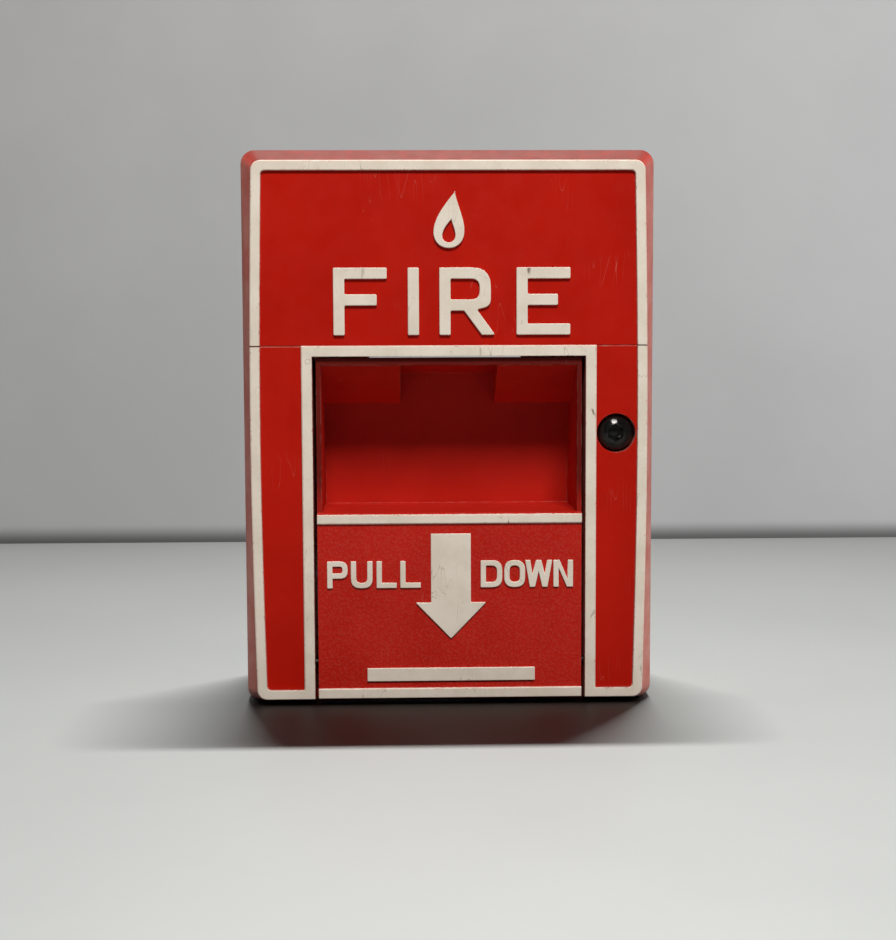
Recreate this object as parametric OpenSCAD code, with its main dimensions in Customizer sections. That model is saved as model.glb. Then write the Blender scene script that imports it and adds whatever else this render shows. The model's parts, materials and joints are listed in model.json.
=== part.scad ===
// Manual fire alarm pull station for an indoor wall, in millimetres.
// X runs to the right, Y towards the wall and Z up. The front faces -Y.
// The origin is at the bottom, in the middle of the width and of the depth.

/* [Housing] */
// Overall width of the cover
body_w = 104; // [100:1:126]
// Overall height of the cover
body_h = 140; // [136:1:170]
// Depth from the front beads to the wall
body_d = 40; // [38:1:48]
// Wall thickness of the cover
wall = 2.5; // [2:0.1:2.9]
// Radius of the cover's outer corners
corner_r = 3.5; // [2:0.5:6]
// Width of the sloping edge around the face
bevel_w = 2.9; // [2:0.1:3.4]
// How far back the sloping edge runs
bevel_d = 6; // [4:0.5:8]

/* [Face] */
// Width of the raised beads
bead_w = 2.7; // [2:0.1:3.2]
// Height of the beads above the face
bead_h = 0.8; // [0.6:0.1:1.2]
// Chamfer along the edges of the beads and the lever's rails
bead_edge = 0.25; // [0.1:0.05:0.4]
// How much the long sides of the border swell at half height
bead_bow = 0.9; // [0:0.1:1.1]
// Width of the lever window
window_w = 68.8; // [57:0.1:72]
// Height of the window's top edge
window_h = 88.4; // [84:0.2:96]

/* [Lever] */
// Gap between the lever and each side of the window
lever_gap = 0.9; // [0.5:0.1:1.5]
// Height of the lever's front panel
panel_h = 48.8; // [44:0.2:52]
// Thickness of the lever's front panel
panel_t = 2.2; // [1.8:0.1:2.6]
// Depth of the finger pocket behind the front plane
pocket_d = 24.6; // [20:0.2:25]
// Diameter of the lever's pivot pin
lever_pin_d = 2.4; // [2:0.1:2.8]
// Height of the pivot pin
lever_pin_z = 10; // [9:0.5:12]

/* [Cover screw] */
// Height of the cover screw
cover_screw_z = 68.9; // [60:0.1:80]
// Diameter of the screw's thread
cover_screw_d = 4.16; // [3.5:0.01:4.4]
// Diameter of the screw's head
cover_head_d = 8.8; // [8:0.1:9]
// Diameter of the counterbore for the head
counterbore_d = 9.85; // [9.6:0.05:10.2]

/* [Wall plate] */
// Thickness of the wall plate
plate_t = 1.5; // [1.2:0.1:2]
// Spacing of the wall box's screws, up and down
box_pitch_z = 83.3; // [83.3, 88.9]
// Spacing of the wider wall box's screws, side to side
box_pitch_x = 46; // [44:0.5:48]
// Diameter of the hinge pins
hinge_pin_d = 2.4; // [2:0.1:2.6]

/* [Switch] */
// Length of the switch case, up and down
switch_l = 27.8; // [26:0.1:34]
// Depth of the switch case, front to back
switch_h = 15.9; // [14:0.1:17]
// Thickness of the switch case, side to side
switch_t = 10.3; // [9:0.1:10.5]

/* [Terminals] */
// Number of terminals
terminal_n = 4; // [3, 4]
// Distance between terminals
terminal_pitch = 9.2; // [8.6:0.1:9.6]

/* [Hidden] */

$fn = 48;
hull_fn = 32;
eps = 0.01;
// Clearance around a pin that turns, on the radius
run_gap = 0.05;
// Clearance between neighbouring loose pieces
seat_gap = 0.3;
RED = [0.67, 0.08, 0.05];
WHITE = [0.84, 0.80, 0.73];
STEEL = [0.70, 0.71, 0.72];
BLACK = [0.08, 0.08, 0.08];
BRASS = [0.72, 0.58, 0.30];
GREEN = [0.10, 0.45, 0.20];

// Planes from front to back
front_y = -body_d / 2;
back_y = body_d / 2;
field_y = front_y + bead_h;
cavity_y = field_y + wall;
plate_y = back_y - plate_t;
edge_y = plate_y - 0.7;
edge_chamfer = 0.6;

// Hinge of the cover, on its left
hinge_x = -body_w / 2 + 3;
hinge_y = plate_y - 5.5;
hinge_r = hinge_pin_d / 2;
knuckle_r = 2.8;
knuckle_h = 4;
ear_w = 4.2;
ear_z = wall + 0.5;
ear_t = 1.5;
swing_slot = 2.8;

// Lever: its pivot, and the arcs that let it swing in the window
lever_w = window_w - 2 * lever_gap;
pin_y = front_y + 4.8;
pin_r = lever_pin_d / 2;
foot_r = lever_pin_z - 0.3;
crown_r = window_h - lever_pin_z - 0.35;
rail_h = 2.7;
rail_proud = 0.6;
panel_y = front_y + rail_proud;
panel_back = panel_y + panel_t;
floor_z = panel_h + 0.1;
pocket_y = front_y + pocket_d;
tray_t = 2;
tray_side = 1.2;
tray_y = pocket_y + tray_t;
boss_r = pin_r + 1.6;
boss_end = 7.5;
stem_w = 24.6;
brow_z = 75.9;
brow_d = 19.2;
brow_r = 2.2;

// Chamber in the cover around the lever
cheek_in = window_w / 2;
cheek_out = cheek_in + wall;
cheek_y = tray_y + 1.4;
notch_y = pin_y + 3.6;

// Strap behind the lever
strap_t = 1.2;
strap_z = floor_z + 5.1;
strap_h = 8;
strap_screw_x = cheek_out + 2.6;
strap_post_r = 2.8;
strap_screw_r = 1.2;

// Latch leaf
leaf_t = 0.4;
latch_y = front_y + 9;
leaf_x = -cheek_in + 5;
leaf_w = 6;
rivet_r = 1.25;
rivet_head_r = 2.2;

// Face, which sits a little low on the cover
border_in = body_w / 2 - bevel_w - bead_w;
face_z0 = bevel_w - 1.7;
face_z1 = body_h - bevel_w - 0.1;

// Cover screw, midway between the frame and the border
cover_screw_x = (cheek_in + bead_w + border_in + bead_bow) / 2;
counterbore_y = front_y + 5.7;
head_h = 4;
screw_boss_y = front_y + 10.5;
screw_boss_r = 7;
screw_r = cover_screw_d / 2;
standoff_y = hinge_y - 1.5;
screw_tip_y = hinge_y + 1;
retainer_y = screw_boss_y + 4;
retainer_t = 0.8;
retainer_r = 3.8;
groove_r = screw_r - 0.35;

// Wall plate
plate_w = body_w - 1;
plate_h = body_h - 1;
mount_z = body_h / 2;
box_slot_r = 2.2;
box_slot_l = 8;
wire_hole_w = 44;
wire_hole_h = 40;

// Switch, to the right of the middle wall screw
bracket_t = 1.2;
bracket_x = 6.6;
switch_x = bracket_x + bracket_t;
switch_mid = switch_x + switch_t / 2;
switch_y = front_y + 13;
switch_back = switch_y + switch_h;
switch_z = lever_pin_z;
arm_axis_y = switch_y - 1.1;
arm_axis_z = switch_z + switch_l - 2;
arm_w = 4;
arm_t = 0.5;
leaf_y = arm_axis_y - 0.6 - arm_t / 2;
plunger_z = arm_axis_z - 8;
plunger_r = 1.2;
cam_y = front_y + 8.4;
cam_w = 6;
cam_z = lever_pin_z + pin_r + 0.6;
cam_h = 7;
cam_screw_zs = [cam_z + 9.2, cam_z + 14.2];
lever_rib_x = switch_mid + cam_w / 2 + 4;
arm_l = arm_axis_z - cam_z - 3;
switch_hole_r = 1.5;
switch_hole_dz = 22.2 / 2;
switch_hole_y = switch_back - 3.6;
tab_root = 1.2;
tab_zs = [switch_z + 6.5, switch_z + switch_l / 2, switch_z + switch_l - 6.5];
tab_t = 0.8;
tab_w = 6.3;
cap_t = 1.4;
bracket_holes = [switch_z + 3, switch_z + switch_l - 3];
small_screw_r = 1.25;

// Earth screw, in the plate's lower left corner
earth_x = -30;
earth_z = 14;
earth_screw_r = 1.45;

// Terminal block, above the upper wall screws
block_w = terminal_n * terminal_pitch + 15;
block_h = 17;
block_d = 10.5;
block_z = mount_z + box_pitch_z / 2 + 7;
block_y = plate_y - block_d;
barrier_t = 1.6;
barrier_h = 3;
block_screw_x = block_w / 2 - 3.2;
block_mid_z = block_z + block_h / 2;
clamp_y = block_y - 1;
clamp_w = 6.8;
fork_t = 0.8;
lug_r = 1.5;

// Leads, which rise to the right of the wire hole
lead_r = 0.9;
lead_x = cover_screw_x - 11.7;

// Middle of terminal i
function terminal_x(i) = (i - (terminal_n - 1) / 2) * terminal_pitch;

// The two terminals on the right hold the leads' fork lugs
function has_fork(i) = i >= terminal_n - 2;

// Heights of the switch's two mounting screws
function switch_hole_z(s) = switch_z + switch_l / 2 + s * switch_hole_dz;

// Draws an outline that lies in X and Z, from y0 back to y1
module slab(y0, y1) {
    translate([0, y1, 0])
        rotate([90, 0, 0])
            linear_extrude(y1 - y0)
                children();
}

// Draws an outline that lies in Y and Z, from x0 to x1
module bar(x0, x1) {
    translate([x0, 0, 0])
        rotate([90, 0, 90])
            linear_extrude(x1 - x0)
                children();
}

// Cylinder along X, from x0 to x1, at a place in Y and Z
module rod_x(x0, x1, y, z, r) {
    translate([x0, y, z])
        rotate([0, 90, 0])
            cylinder(h = x1 - x0, r = r);
}

// Cylinder along Y, from y0 to y1, at a place in X and Z
module rod_y(x, z, y0, y1, r) {
    translate([x, y0, z])
        rotate([-90, 0, 0])
            cylinder(h = y1 - y0, r = r);
}

// Box between two corners
module box(a, b) {
    translate(a)
        cube([b[0] - a[0], b[1] - a[1], b[2] - a[2]]);
}

// Repeats a piece on the other side of the middle
module both_sides() {
    children();
    mirror([1, 0, 0])
        children();
}

// Rectangle with round corners, standing on z0 and centred across
module rounded(w, h, z0, r) {
    translate([-w / 2 + r, z0])
        square([w - 2 * r, h]);
    translate([-w / 2, z0 + r])
        square([w, h - 2 * r]);
    for (x = [-w / 2 + r, w / 2 - r], z = [z0 + r, z0 + h - r])
        translate([x, z])
            circle(r);
}

// One quarter circle of corner points
function corner(cx, cz, r, a0) = [for (i = [0:6]) [cx + r * cos(a0 + 15 * i), cz + r * sin(a0 + 15 * i)]];

// Right-hand side of a bowed outline, from the bottom to the top
function bow_side(half, z0, z1, r) = concat(
    corner(half - r, z0 + r, r, -90),
    [for (i = [1:15]) [half + bead_bow * sin(180 * i / 16), z0 + r + (z1 - z0 - 2 * r) * i / 16]],
    corner(half - r, z1 - r, r, 0));

// Outline of the face, drawn in by inset, whose long sides swell a little
module bowed(inset, r) {
    half = body_w / 2 - bevel_w - inset;
    side = bow_side(half, face_z0 + inset, face_z1 - inset, r);
    n = len(side);
    polygon(concat(side, [for (i = [0:n - 1]) [-side[n - 1 - i][0], side[n - 1 - i][1]]]));
}

// Solid between one outline at the face and another at the top of the beads
module drafted() {
    hull() {
        slab(field_y, field_y + 0.5)
            children(0);
        slab(front_y + bead_edge, front_y + bead_edge + eps)
            children(0);
        slab(front_y, front_y + eps)
            children(1);
    }
}

// Raised border and the frame around the lever window, with chamfered edges
module beads() {
    frame_h = window_h + bead_w;
    difference() {
        union() {
            difference() {
                drafted() {
                    bowed(0, 2.5, $fn = hull_fn);
                    bowed(bead_edge, 2.3, $fn = hull_fn);
                }
                hull() {
                    slab(front_y + bead_edge, field_y + 1)
                        bowed(bead_w, 1, $fn = hull_fn);
                    slab(front_y - 1, front_y)
                        bowed(bead_w - bead_edge, 1, $fn = hull_fn);
                }
            }
            intersection() {
                drafted() {
                    translate([-cheek_in - bead_w, 0])
                        square([window_w + 2 * bead_w, frame_h]);
                    translate([-cheek_in - bead_w + bead_edge, 0])
                        square([window_w + 2 * (bead_w - bead_edge), frame_h - bead_edge]);
                }
                box([-body_w, front_y - 1, bevel_w], [body_w, back_y, body_h]);
            }
        }
        box([-cheek_in, front_y - 1, -1], [cheek_in, field_y + 1, window_h]);
    }
}

// Ribs behind the upper part of the face
module face_ribs() {
    rib_t = 1.4;
    rib_y = cavity_y + 4;
    rib_z = window_h + wall;
    for (x = [-26, 0, 26])
        box([x - rib_t / 2, cavity_y - eps, rib_z - eps], [x + rib_t / 2, rib_y, body_h - wall + eps]);
    box([-cheek_out, cavity_y - eps, rib_z + 20], [cheek_out, rib_y, rib_z + 20 + rib_t]);
}

// Walls of the chamber that the lever swings in
module chamber() {
    both_sides()
        box([cheek_in, cavity_y - 1, wall - eps], [cheek_out, cheek_y, window_h + wall]);
    box([-cheek_in - eps, cavity_y - 1, window_h], [cheek_in + eps, cheek_y, window_h + wall]);
    both_sides()
        rod_y(strap_screw_x, strap_z, cavity_y - 1, cheek_y, strap_post_r);
    both_sides()
        box([cheek_out - eps, cavity_y - 1, strap_z - 1], [strap_screw_x, cheek_y, strap_z + 1]);
}

// Hinge knuckles in the two left corners
module knuckles() {
    for (z = [ear_z + 2, body_h - ear_z - 2 - knuckle_h]) {
        translate([hinge_x, hinge_y, z])
            cylinder(h = knuckle_h, r = knuckle_r);
        box([-body_w / 2 + 1, hinge_y - 2.2, z], [hinge_x, hinge_y + 2.2, z + knuckle_h]);
    }
}

module front_cover() {
    color(RED)
    difference() {
        union() {
            difference() {
                union() {
                    hull() {
                        slab(field_y, field_y + eps)
                            bowed(0, 2.5, $fn = hull_fn);
                        slab(front_y + bevel_d - eps, front_y + bevel_d)
                            rounded(body_w, body_h, 0, corner_r, $fn = hull_fn);
                    }
                    slab(front_y + bevel_d - 2 * eps, edge_y - edge_chamfer)
                        rounded(body_w, body_h, 0, corner_r);
                    hull() {
                        slab(edge_y - edge_chamfer - eps, edge_y - edge_chamfer)
                            rounded(body_w, body_h, 0, corner_r, $fn = hull_fn);
                        slab(edge_y - eps, edge_y)
                            rounded(body_w - 2 * edge_chamfer, body_h - 2 * edge_chamfer, edge_chamfer,
                                corner_r - edge_chamfer, $fn = hull_fn);
                    }
                    beads();
                }
                slab(cavity_y, edge_y + 1)
                    rounded(body_w - 2 * wall, body_h - 2 * wall, wall, 1.2);
            }
            chamber();
            face_ribs();
            knuckles();
            rod_y(cover_screw_x, cover_screw_z, cavity_y - 1, screw_boss_y, screw_boss_r);
        }
        // Window through the face, and the notch in the floor that the lever's foot turns in
        box([-cheek_in, front_y - 1, wall - 0.5], [cheek_in, cavity_y + 0.5, window_h]);
        box([-cheek_in, front_y - 1, -1], [cheek_in, notch_y, wall + eps]);
        // Pivot pin and strap screws
        rod_x(-cheek_out - 1, cheek_out + 1, pin_y, lever_pin_z, pin_r);
        both_sides()
            rod_y(strap_screw_x, strap_z, cheek_y - 8, cheek_y + 1, strap_screw_r);
        // Counterbore and clearance hole for the cover screw
        rod_y(cover_screw_x, cover_screw_z, front_y - 1, counterbore_y, counterbore_d / 2);
        rod_y(cover_screw_x, cover_screw_z, counterbore_y - 1, screw_boss_y + 1, screw_r + 0.17);
        // Hinge bores, and the slots that the plate's ears swing through
        for (z = [ear_z + 1, body_h - ear_z - 3 - knuckle_h])
            translate([hinge_x, hinge_y, z])
                cylinder(h = knuckle_h + 2, r = hinge_r + run_gap);
        for (z = [wall, body_h - wall - 2.3])
            box([-body_w / 2 - 1, hinge_y - swing_slot, z], [hinge_x + 2, edge_y + 1, z + 2.3]);
        // Fine moulding line across the face at the top of the window
        both_sides()
            box([cheek_in + bead_w, front_y - 1, window_h + bead_w - 0.2],
                [body_w / 2 - bevel_w + 1, field_y + 0.12, window_h + bead_w]);
    }
}

// Raised rail of the lever from the side, standing on z0
module rail_profile(z0, h) {
    e = bead_edge;
    polygon([[panel_y + eps, z0], [front_y + e, z0], [front_y, z0 + e], [front_y, z0 + h - e],
        [front_y + e, z0 + h], [panel_y + eps, z0 + h]]);
}

// Outline of the lever from the side, as Y and Z
module lever_profile() {
    // Front panel and its two rails, whose foot is round about the pivot
    difference() {
        union() {
            translate([panel_y, 0])
                square([panel_t, floor_z]);
            rail_profile(-2, rail_h + 3.35);
            rail_profile(panel_h - rail_h, rail_h);
        }
        difference() {
            translate([front_y - 5, -5])
                square([15, 5 + lever_pin_z - 4]);
            translate([pin_y, lever_pin_z])
                circle(foot_r, $fn = 120);
        }
    }
    // Pocket shell
    intersection() {
        translate([front_y + 1.2, floor_z - tray_t])
            square([tray_y - front_y - 1.2, window_h]);
        translate([pin_y, lever_pin_z])
            circle(crown_r, $fn = 240);
    }
}

// Room in the pocket below the brow, as Y and Z
module pocket_profile(top_z) {
    intersection() {
        translate([front_y - 1, floor_z])
            square([pocket_y - front_y + 1, top_z - floor_z]);
        translate([pin_y, lever_pin_z])
            circle(crown_r - 1.8, $fn = 240);
    }
}

// Side outline of the two brows that hang in the pocket's upper corners
module brow_profile() {
    y = front_y + brow_d;
    z = brow_z + brow_r;
    polygon([[front_y + 2.8, window_h], [front_y + 2.8, window_h - 2.4],
        [y - 0.54 * brow_r, z - 0.84 * brow_r], [y, z], [y, brow_z], [tray_y, brow_z], [tray_y, window_h]]);
    translate([y, z])
        circle(brow_r);
}

module pull_lever() {
    half = lever_w / 2;
    inner = half - tray_side;
    color(RED)
    difference() {
        union() {
            difference() {
                bar(-half, half)
                    lever_profile();
                bar(-stem_w / 2, stem_w / 2)
                    pocket_profile(window_h);
                both_sides()
                    bar(stem_w / 2 - eps, inner)
                        difference() {
                            pocket_profile(window_h);
                            brow_profile();
                        }
            }
            // Side flanges and pivot bosses behind the panel
            both_sides()
                box([inner - 0.4, panel_back - eps, 3.2], [half, pin_y + 6.5, floor_z - tray_t + eps]);
            both_sides()
                rod_x(half - boss_end, half, pin_y, lever_pin_z, boss_r);
            rod_x(-5, 5, pin_y, lever_pin_z, boss_r);
            both_sides()
                box([lever_rib_x - 0.7, panel_back - eps, lever_pin_z + 14],
                    [lever_rib_x + 0.7, panel_back + 5, floor_z - tray_t + eps]);
        }
        rod_x(-half - 1, half + 1, pin_y, lever_pin_z, pin_r + run_gap);
        // Sloping front edge of the pocket floor
        bar(-half - 1, half + 1)
            polygon([[front_y - 1, floor_z - 0.55], [front_y, floor_z - 0.55], [front_y + 0.9, floor_z],
                [front_y + 0.9, floor_z + 1], [front_y - 1, floor_z + 1]]);
        // Pilot holes for the cam's screws
        for (z = cam_screw_zs)
            rod_y(switch_mid, z, panel_back - 1.2, panel_back + 1, 0.8);
    }
}

module lever_pin() {
    color(STEEL)
    rod_x(-cheek_out, cheek_out, pin_y, lever_pin_z, pin_r);
}

// Points on a circle around the middle of a tube, at one station of its path
function ring(c, dir, r, n) =
    let (d = dir / norm(dir),
         u0 = cross(d, abs(d[2]) < 0.9 ? [0, 0, 1] : [1, 0, 0]),
         u = u0 / norm(u0),
         v = cross(d, u))
    [for (k = [0:n - 1]) c + r * (cos(360 * k / n) * u + sin(360 * k / n) * v)];

// Tube of radius r along a list of points
module tube(path, r, n = 8) {
    m = len(path);
    pts = [for (i = [0:m - 1]) each ring(path[i], path[min(i + 1, m - 1)] - path[max(i - 1, 0)], r, n)];
    sides = [for (i = [0:m - 2], k = [0:n - 1], h = [0:1])
        let (a = i * n + k, b = i * n + (k + 1) % n)
        h == 0 ? [a, b, b + n] : [a, b + n, a + n]];
    cap0 = [[for (k = [0:n - 1]) n - 1 - k]];
    cap1 = [[for (k = [0:n - 1]) (m - 1) * n + k]];
    polyhedron(points = pts, faces = concat(sides, cap0, cap1), convexity = 8);
}

// Torsion spring on the pivot pin: one leg lies on the lever, the other on the cover's floor
module lever_spring() {
    wire_r = 0.25;
    coil_r = pin_r + 0.15 + wire_r;
    turns = 5;
    steps = 14;
    x0 = boss_end + 2 - lever_w / 2;
    pitch = 0.62;
    coil = [for (i = [0:turns * steps]) let (a = 180 + 360 * i / steps)
        [x0 + pitch * i / steps, pin_y + coil_r * cos(a), lever_pin_z + coil_r * sin(a)]];
    leg_up = [[x0, pin_y - coil_r, lever_pin_z + 12], [x0, pin_y - coil_r, lever_pin_z + 1]];
    x1 = x0 + pitch * turns;
    leg_down = [[x1, pin_y - coil_r + 0.1, lever_pin_z - 1.2], [x1, pin_y + 4, wall + 1.2],
        [x1, pin_y + 9, wall + wire_r + 0.05]];
    color(STEEL)
    tube(concat(leg_up, coil, leg_down), wire_r, 6);
}

module stop_strap() {
    color(STEEL)
    difference() {
        slab(cheek_y, cheek_y + strap_t)
            rounded(2 * strap_screw_x + 7, strap_h, strap_z - strap_h / 2, 2);
        both_sides()
            rod_y(strap_screw_x, strap_z, cheek_y - 1, cheek_y + strap_t + 1, strap_screw_r + 0.2);
        rod_y(leaf_x + leaf_w / 2, strap_z, cheek_y - 1, cheek_y + strap_t + 1, rivet_r);
    }
}

// Pan-head screw along Y with a cross recess, head outwards towards y_head
module pan_screw(x, z, y_seat, y_tip, r, head_r, head_t) {
    dir = y_tip > y_seat ? 1 : -1;
    translate([x, y_seat, z])
        rotate([-90 * dir, 0, 0])
            difference() {
                union() {
                    cylinder(h = abs(y_tip - y_seat), r = r);
                    translate([0, 0, -head_t])
                        cylinder(h = head_t, r1 = head_r * 0.82, r2 = head_r);
                }
                for (a = [0, 90])
                    rotate([0, 0, a])
                        translate([-head_r * 0.55, -head_r * 0.11, -head_t - 1])
                            cube([head_r * 1.1, head_r * 0.22, head_t * 0.6 + 1]);
            }
}

module strap_screws() {
    color(STEEL)
    both_sides()
        pan_screw(strap_screw_x, strap_z, cheek_y + strap_t, cheek_y - 6.5, strap_screw_r, 2.3, 1.5);
}

module stop_bumpers() {
    color(BLACK)
    both_sides()
        rod_y(cheek_in - 15, strap_z, tray_y + 0.15, cheek_y, 3);
}

// Leaf held down by the pocket's floor: once the lever is pulled it rises behind the
// pocket's lower edge and keeps the lever down
module latch_spring() {
    z_top = floor_z - tray_t - seat_gap;
    z_leaf = z_top - leaf_t;
    color(STEEL)
    difference() {
        bar(leaf_x, leaf_x + leaf_w)
            polygon([[cheek_y - leaf_t, strap_z + 3], [cheek_y, strap_z + 3], [cheek_y, z_leaf + 0.8],
                [cheek_y - 0.8, z_leaf], [latch_y, z_leaf], [latch_y - 0.7, z_leaf - 0.9],
                [latch_y - 1, z_leaf - 0.7], [latch_y - 0.3, z_top], [cheek_y - 1, z_top],
                [cheek_y - leaf_t, z_leaf + 1]]);
        rod_y(leaf_x + leaf_w / 2, strap_z, cheek_y - 2, cheek_y + 1, rivet_r);
    }
}

module latch_rivet() {
    x = leaf_x + leaf_w / 2;
    color(STEEL)
    union() {
        rod_y(x, strap_z, cheek_y - leaf_t, cheek_y + strap_t, rivet_r);
        rod_y(x, strap_z, cheek_y - leaf_t - 0.7, cheek_y - leaf_t, rivet_head_r);
        rod_y(x, strap_z, cheek_y + strap_t, cheek_y + strap_t + 0.8, rivet_head_r);
    }
}

// Nose block on the lever's back that holds the switch arm in
module lever_cam() {
    x0 = switch_mid - cam_w / 2;
    color(BLACK)
    difference() {
        bar(x0, x0 + cam_w)
            polygon([[panel_back, cam_z + 17], [panel_back, cam_z],
                [cam_y - 1.5, cam_z], [cam_y, cam_z + 1.5],
                [cam_y, cam_z + cam_h - 1.5], [cam_y - 2.2, cam_z + cam_h], [panel_back + 2, cam_z + cam_h],
                [panel_back + 2, cam_z + 17]]);
        for (z = cam_screw_zs)
            rod_y(switch_mid, z, panel_back - 1, panel_back + 3, 0.95);
    }
}

module cam_screws() {
    color(STEEL)
    for (z = cam_screw_zs)
        pan_screw(switch_mid, z, panel_back + 2, panel_back - 1.1, 0.8, 1.7, 1.1);
}

module cover_screw() {
    socket_af = 4;
    socket_d = 2.6;
    color(BLACK)
    difference() {
        union() {
            rod_y(cover_screw_x, cover_screw_z, counterbore_y, screw_tip_y - 0.6, screw_r);
            translate([cover_screw_x, screw_tip_y - 0.6, cover_screw_z])
                rotate([-90, 0, 0])
                    cylinder(h = 0.6, r1 = screw_r, r2 = screw_r - 0.5);
            rod_y(cover_screw_x, cover_screw_z, counterbore_y - head_h + 0.5, counterbore_y,
                cover_head_d / 2);
            translate([cover_screw_x, counterbore_y - head_h, cover_screw_z])
                rotate([-90, 0, 0])
                    cylinder(h = 0.5, r1 = cover_head_d / 2 - 0.5, r2 = cover_head_d / 2);
        }
        translate([cover_screw_x, counterbore_y - head_h - 1, cover_screw_z])
            rotate([-90, 30, 0])
                cylinder(h = socket_d + 1, d = socket_af / cos(30), $fn = 6);
        difference() {
            rod_y(cover_screw_x, cover_screw_z, retainer_y - 0.1, retainer_y + retainer_t + 0.1,
                screw_r + 1);
            rod_y(cover_screw_x, cover_screw_z, retainer_y - 1, retainer_y + retainer_t + 1, groove_r);
        }
    }
}

// Open retaining ring that keeps the cover screw in the cover
module screw_retainer() {
    color(STEEL)
    difference() {
        rod_y(cover_screw_x, cover_screw_z, retainer_y, retainer_y + retainer_t, retainer_r);
        rod_y(cover_screw_x, cover_screw_z, retainer_y - 1, retainer_y + retainer_t + 1,
            groove_r + run_gap);
        box([cover_screw_x - 1.2, retainer_y - 1, cover_screw_z - retainer_r - 1],
            [cover_screw_x + 1.2, retainer_y + retainer_t + 1, cover_screw_z]);
    }
}

// Slot for a wall screw, whose long way is along X or Z
module wall_slot(x, z, along_x) {
    run = box_slot_l / 2 - box_slot_r;
    for (s = [-1, 1])
        rod_y(x + (along_x ? s * run : 0), z + (along_x ? 0 : s * run),
            plate_y - 1, back_y + 1, box_slot_r);
    dx = along_x ? run : box_slot_r;
    dz = along_x ? box_slot_r : run;
    box([x - dx, plate_y - 1, z - dz], [x + dx, back_y + 1, z + dz]);
}

module wall_plate() {
    color(STEEL)
    difference() {
        union() {
            slab(plate_y, back_y)
                rounded(plate_w, plate_h, (body_h - plate_h) / 2, 3);
            for (z = [ear_z, body_h - ear_z - ear_t]) {
                translate([hinge_x, hinge_y, z])
                    cylinder(h = ear_t, r = ear_w / 2);
                box([hinge_x - ear_w / 2 + eps, hinge_y, z],
                    [hinge_x + ear_w / 2 - eps, plate_y + eps, z + ear_t]);
            }
        }
        slab(plate_y - 1, back_y + 1)
            rounded(wire_hole_w, wire_hole_h, mount_z - wire_hole_h / 2, 6);
        for (s = [-1, 1]) {
            z = mount_z + s * box_pitch_z / 2;
            wall_slot(0, z, false);
            for (x = [-box_pitch_x / 2, box_pitch_x / 2])
                wall_slot(x, z, true);
        }
        for (z = [ear_z - 1, body_h - ear_z - 2.5])
            translate([hinge_x, hinge_y, z])
                cylinder(h = 3.5, r = hinge_r);
        rod_y(cover_screw_x, cover_screw_z, plate_y - 1, back_y + 1, 3);
        for (z = bracket_holes)
            rod_y(switch_mid, z, plate_y - 1, back_y + 1, small_screw_r);
        both_sides()
            rod_y(block_screw_x, block_mid_z, plate_y - 1, back_y + 1, small_screw_r);
        rod_y(earth_x, earth_z, plate_y - 1, back_y + 1, earth_screw_r);
    }
}

module hinge_pins() {
    color(STEEL)
    for (top = [0, 1])
        translate([hinge_x, hinge_y, top == 0 ? ear_z : body_h - ear_z - ear_t - knuckle_h - 0.6])
            cylinder(h = knuckle_h + 2.1, r = hinge_r);
}

// Hexagon post, riveted to the plate, that the cover screw enters
module screw_standoff() {
    color(BRASS)
    difference() {
        union() {
            translate([cover_screw_x, standoff_y, cover_screw_z])
                rotate([-90, 0, 0])
                    cylinder(h = plate_y - standoff_y, d = 9 / cos(30), $fn = 6);
            rod_y(cover_screw_x, cover_screw_z, plate_y - eps, back_y, 3);
        }
        rod_y(cover_screw_x, cover_screw_z, standoff_y - 1, plate_y - 1, screw_r + 0.08);
    }
}

module earth_screw() {
    color(GREEN)
    pan_screw(earth_x, earth_z, plate_y - 1.4, back_y, earth_screw_r, 3.4, 2);
}

module earth_washer() {
    color(BRASS)
    difference() {
        union() {
            rod_y(earth_x, earth_z, plate_y - 1.4, plate_y, 3.9);
            box([earth_x - 3.9, plate_y - 0.6, earth_z - 3.9], [earth_x + 3.9, plate_y, earth_z + 3.9]);
        }
        rod_y(earth_x, earth_z, plate_y - 2, plate_y + 1, earth_screw_r + 0.15);
    }
}

module switch_bracket() {
    z0 = switch_z - 1;
    z1 = switch_z + switch_l + 1;
    color(STEEL)
    difference() {
        union() {
            box([bracket_x, switch_y + 1, z0], [bracket_x + bracket_t, plate_y, z1]);
            box([bracket_x, plate_y - bracket_t, z0], [switch_x + switch_t, plate_y, z1]);
        }
        for (s = [-1, 1])
            rod_x(bracket_x - 1, switch_x + 1, switch_hole_y, switch_hole_z(s), switch_hole_r);
        for (z = bracket_holes)
            rod_y(switch_mid, z, plate_y - bracket_t - 1, plate_y + 1, small_screw_r + 0.15);
    }
}

module bracket_screws() {
    color(STEEL)
    for (z = bracket_holes)
        pan_screw(switch_mid, z, plate_y - bracket_t, back_y, small_screw_r, 2.6, 1.7);
}

// Blade of a push-on terminal, from its seat in the case to reach behind it
module tab_blade(z, reach) {
    box([switch_mid - tab_t / 2, switch_back - tab_root, z - tab_w / 2],
        [switch_mid + tab_t / 2, switch_back + reach, z + tab_w / 2]);
}

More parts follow.
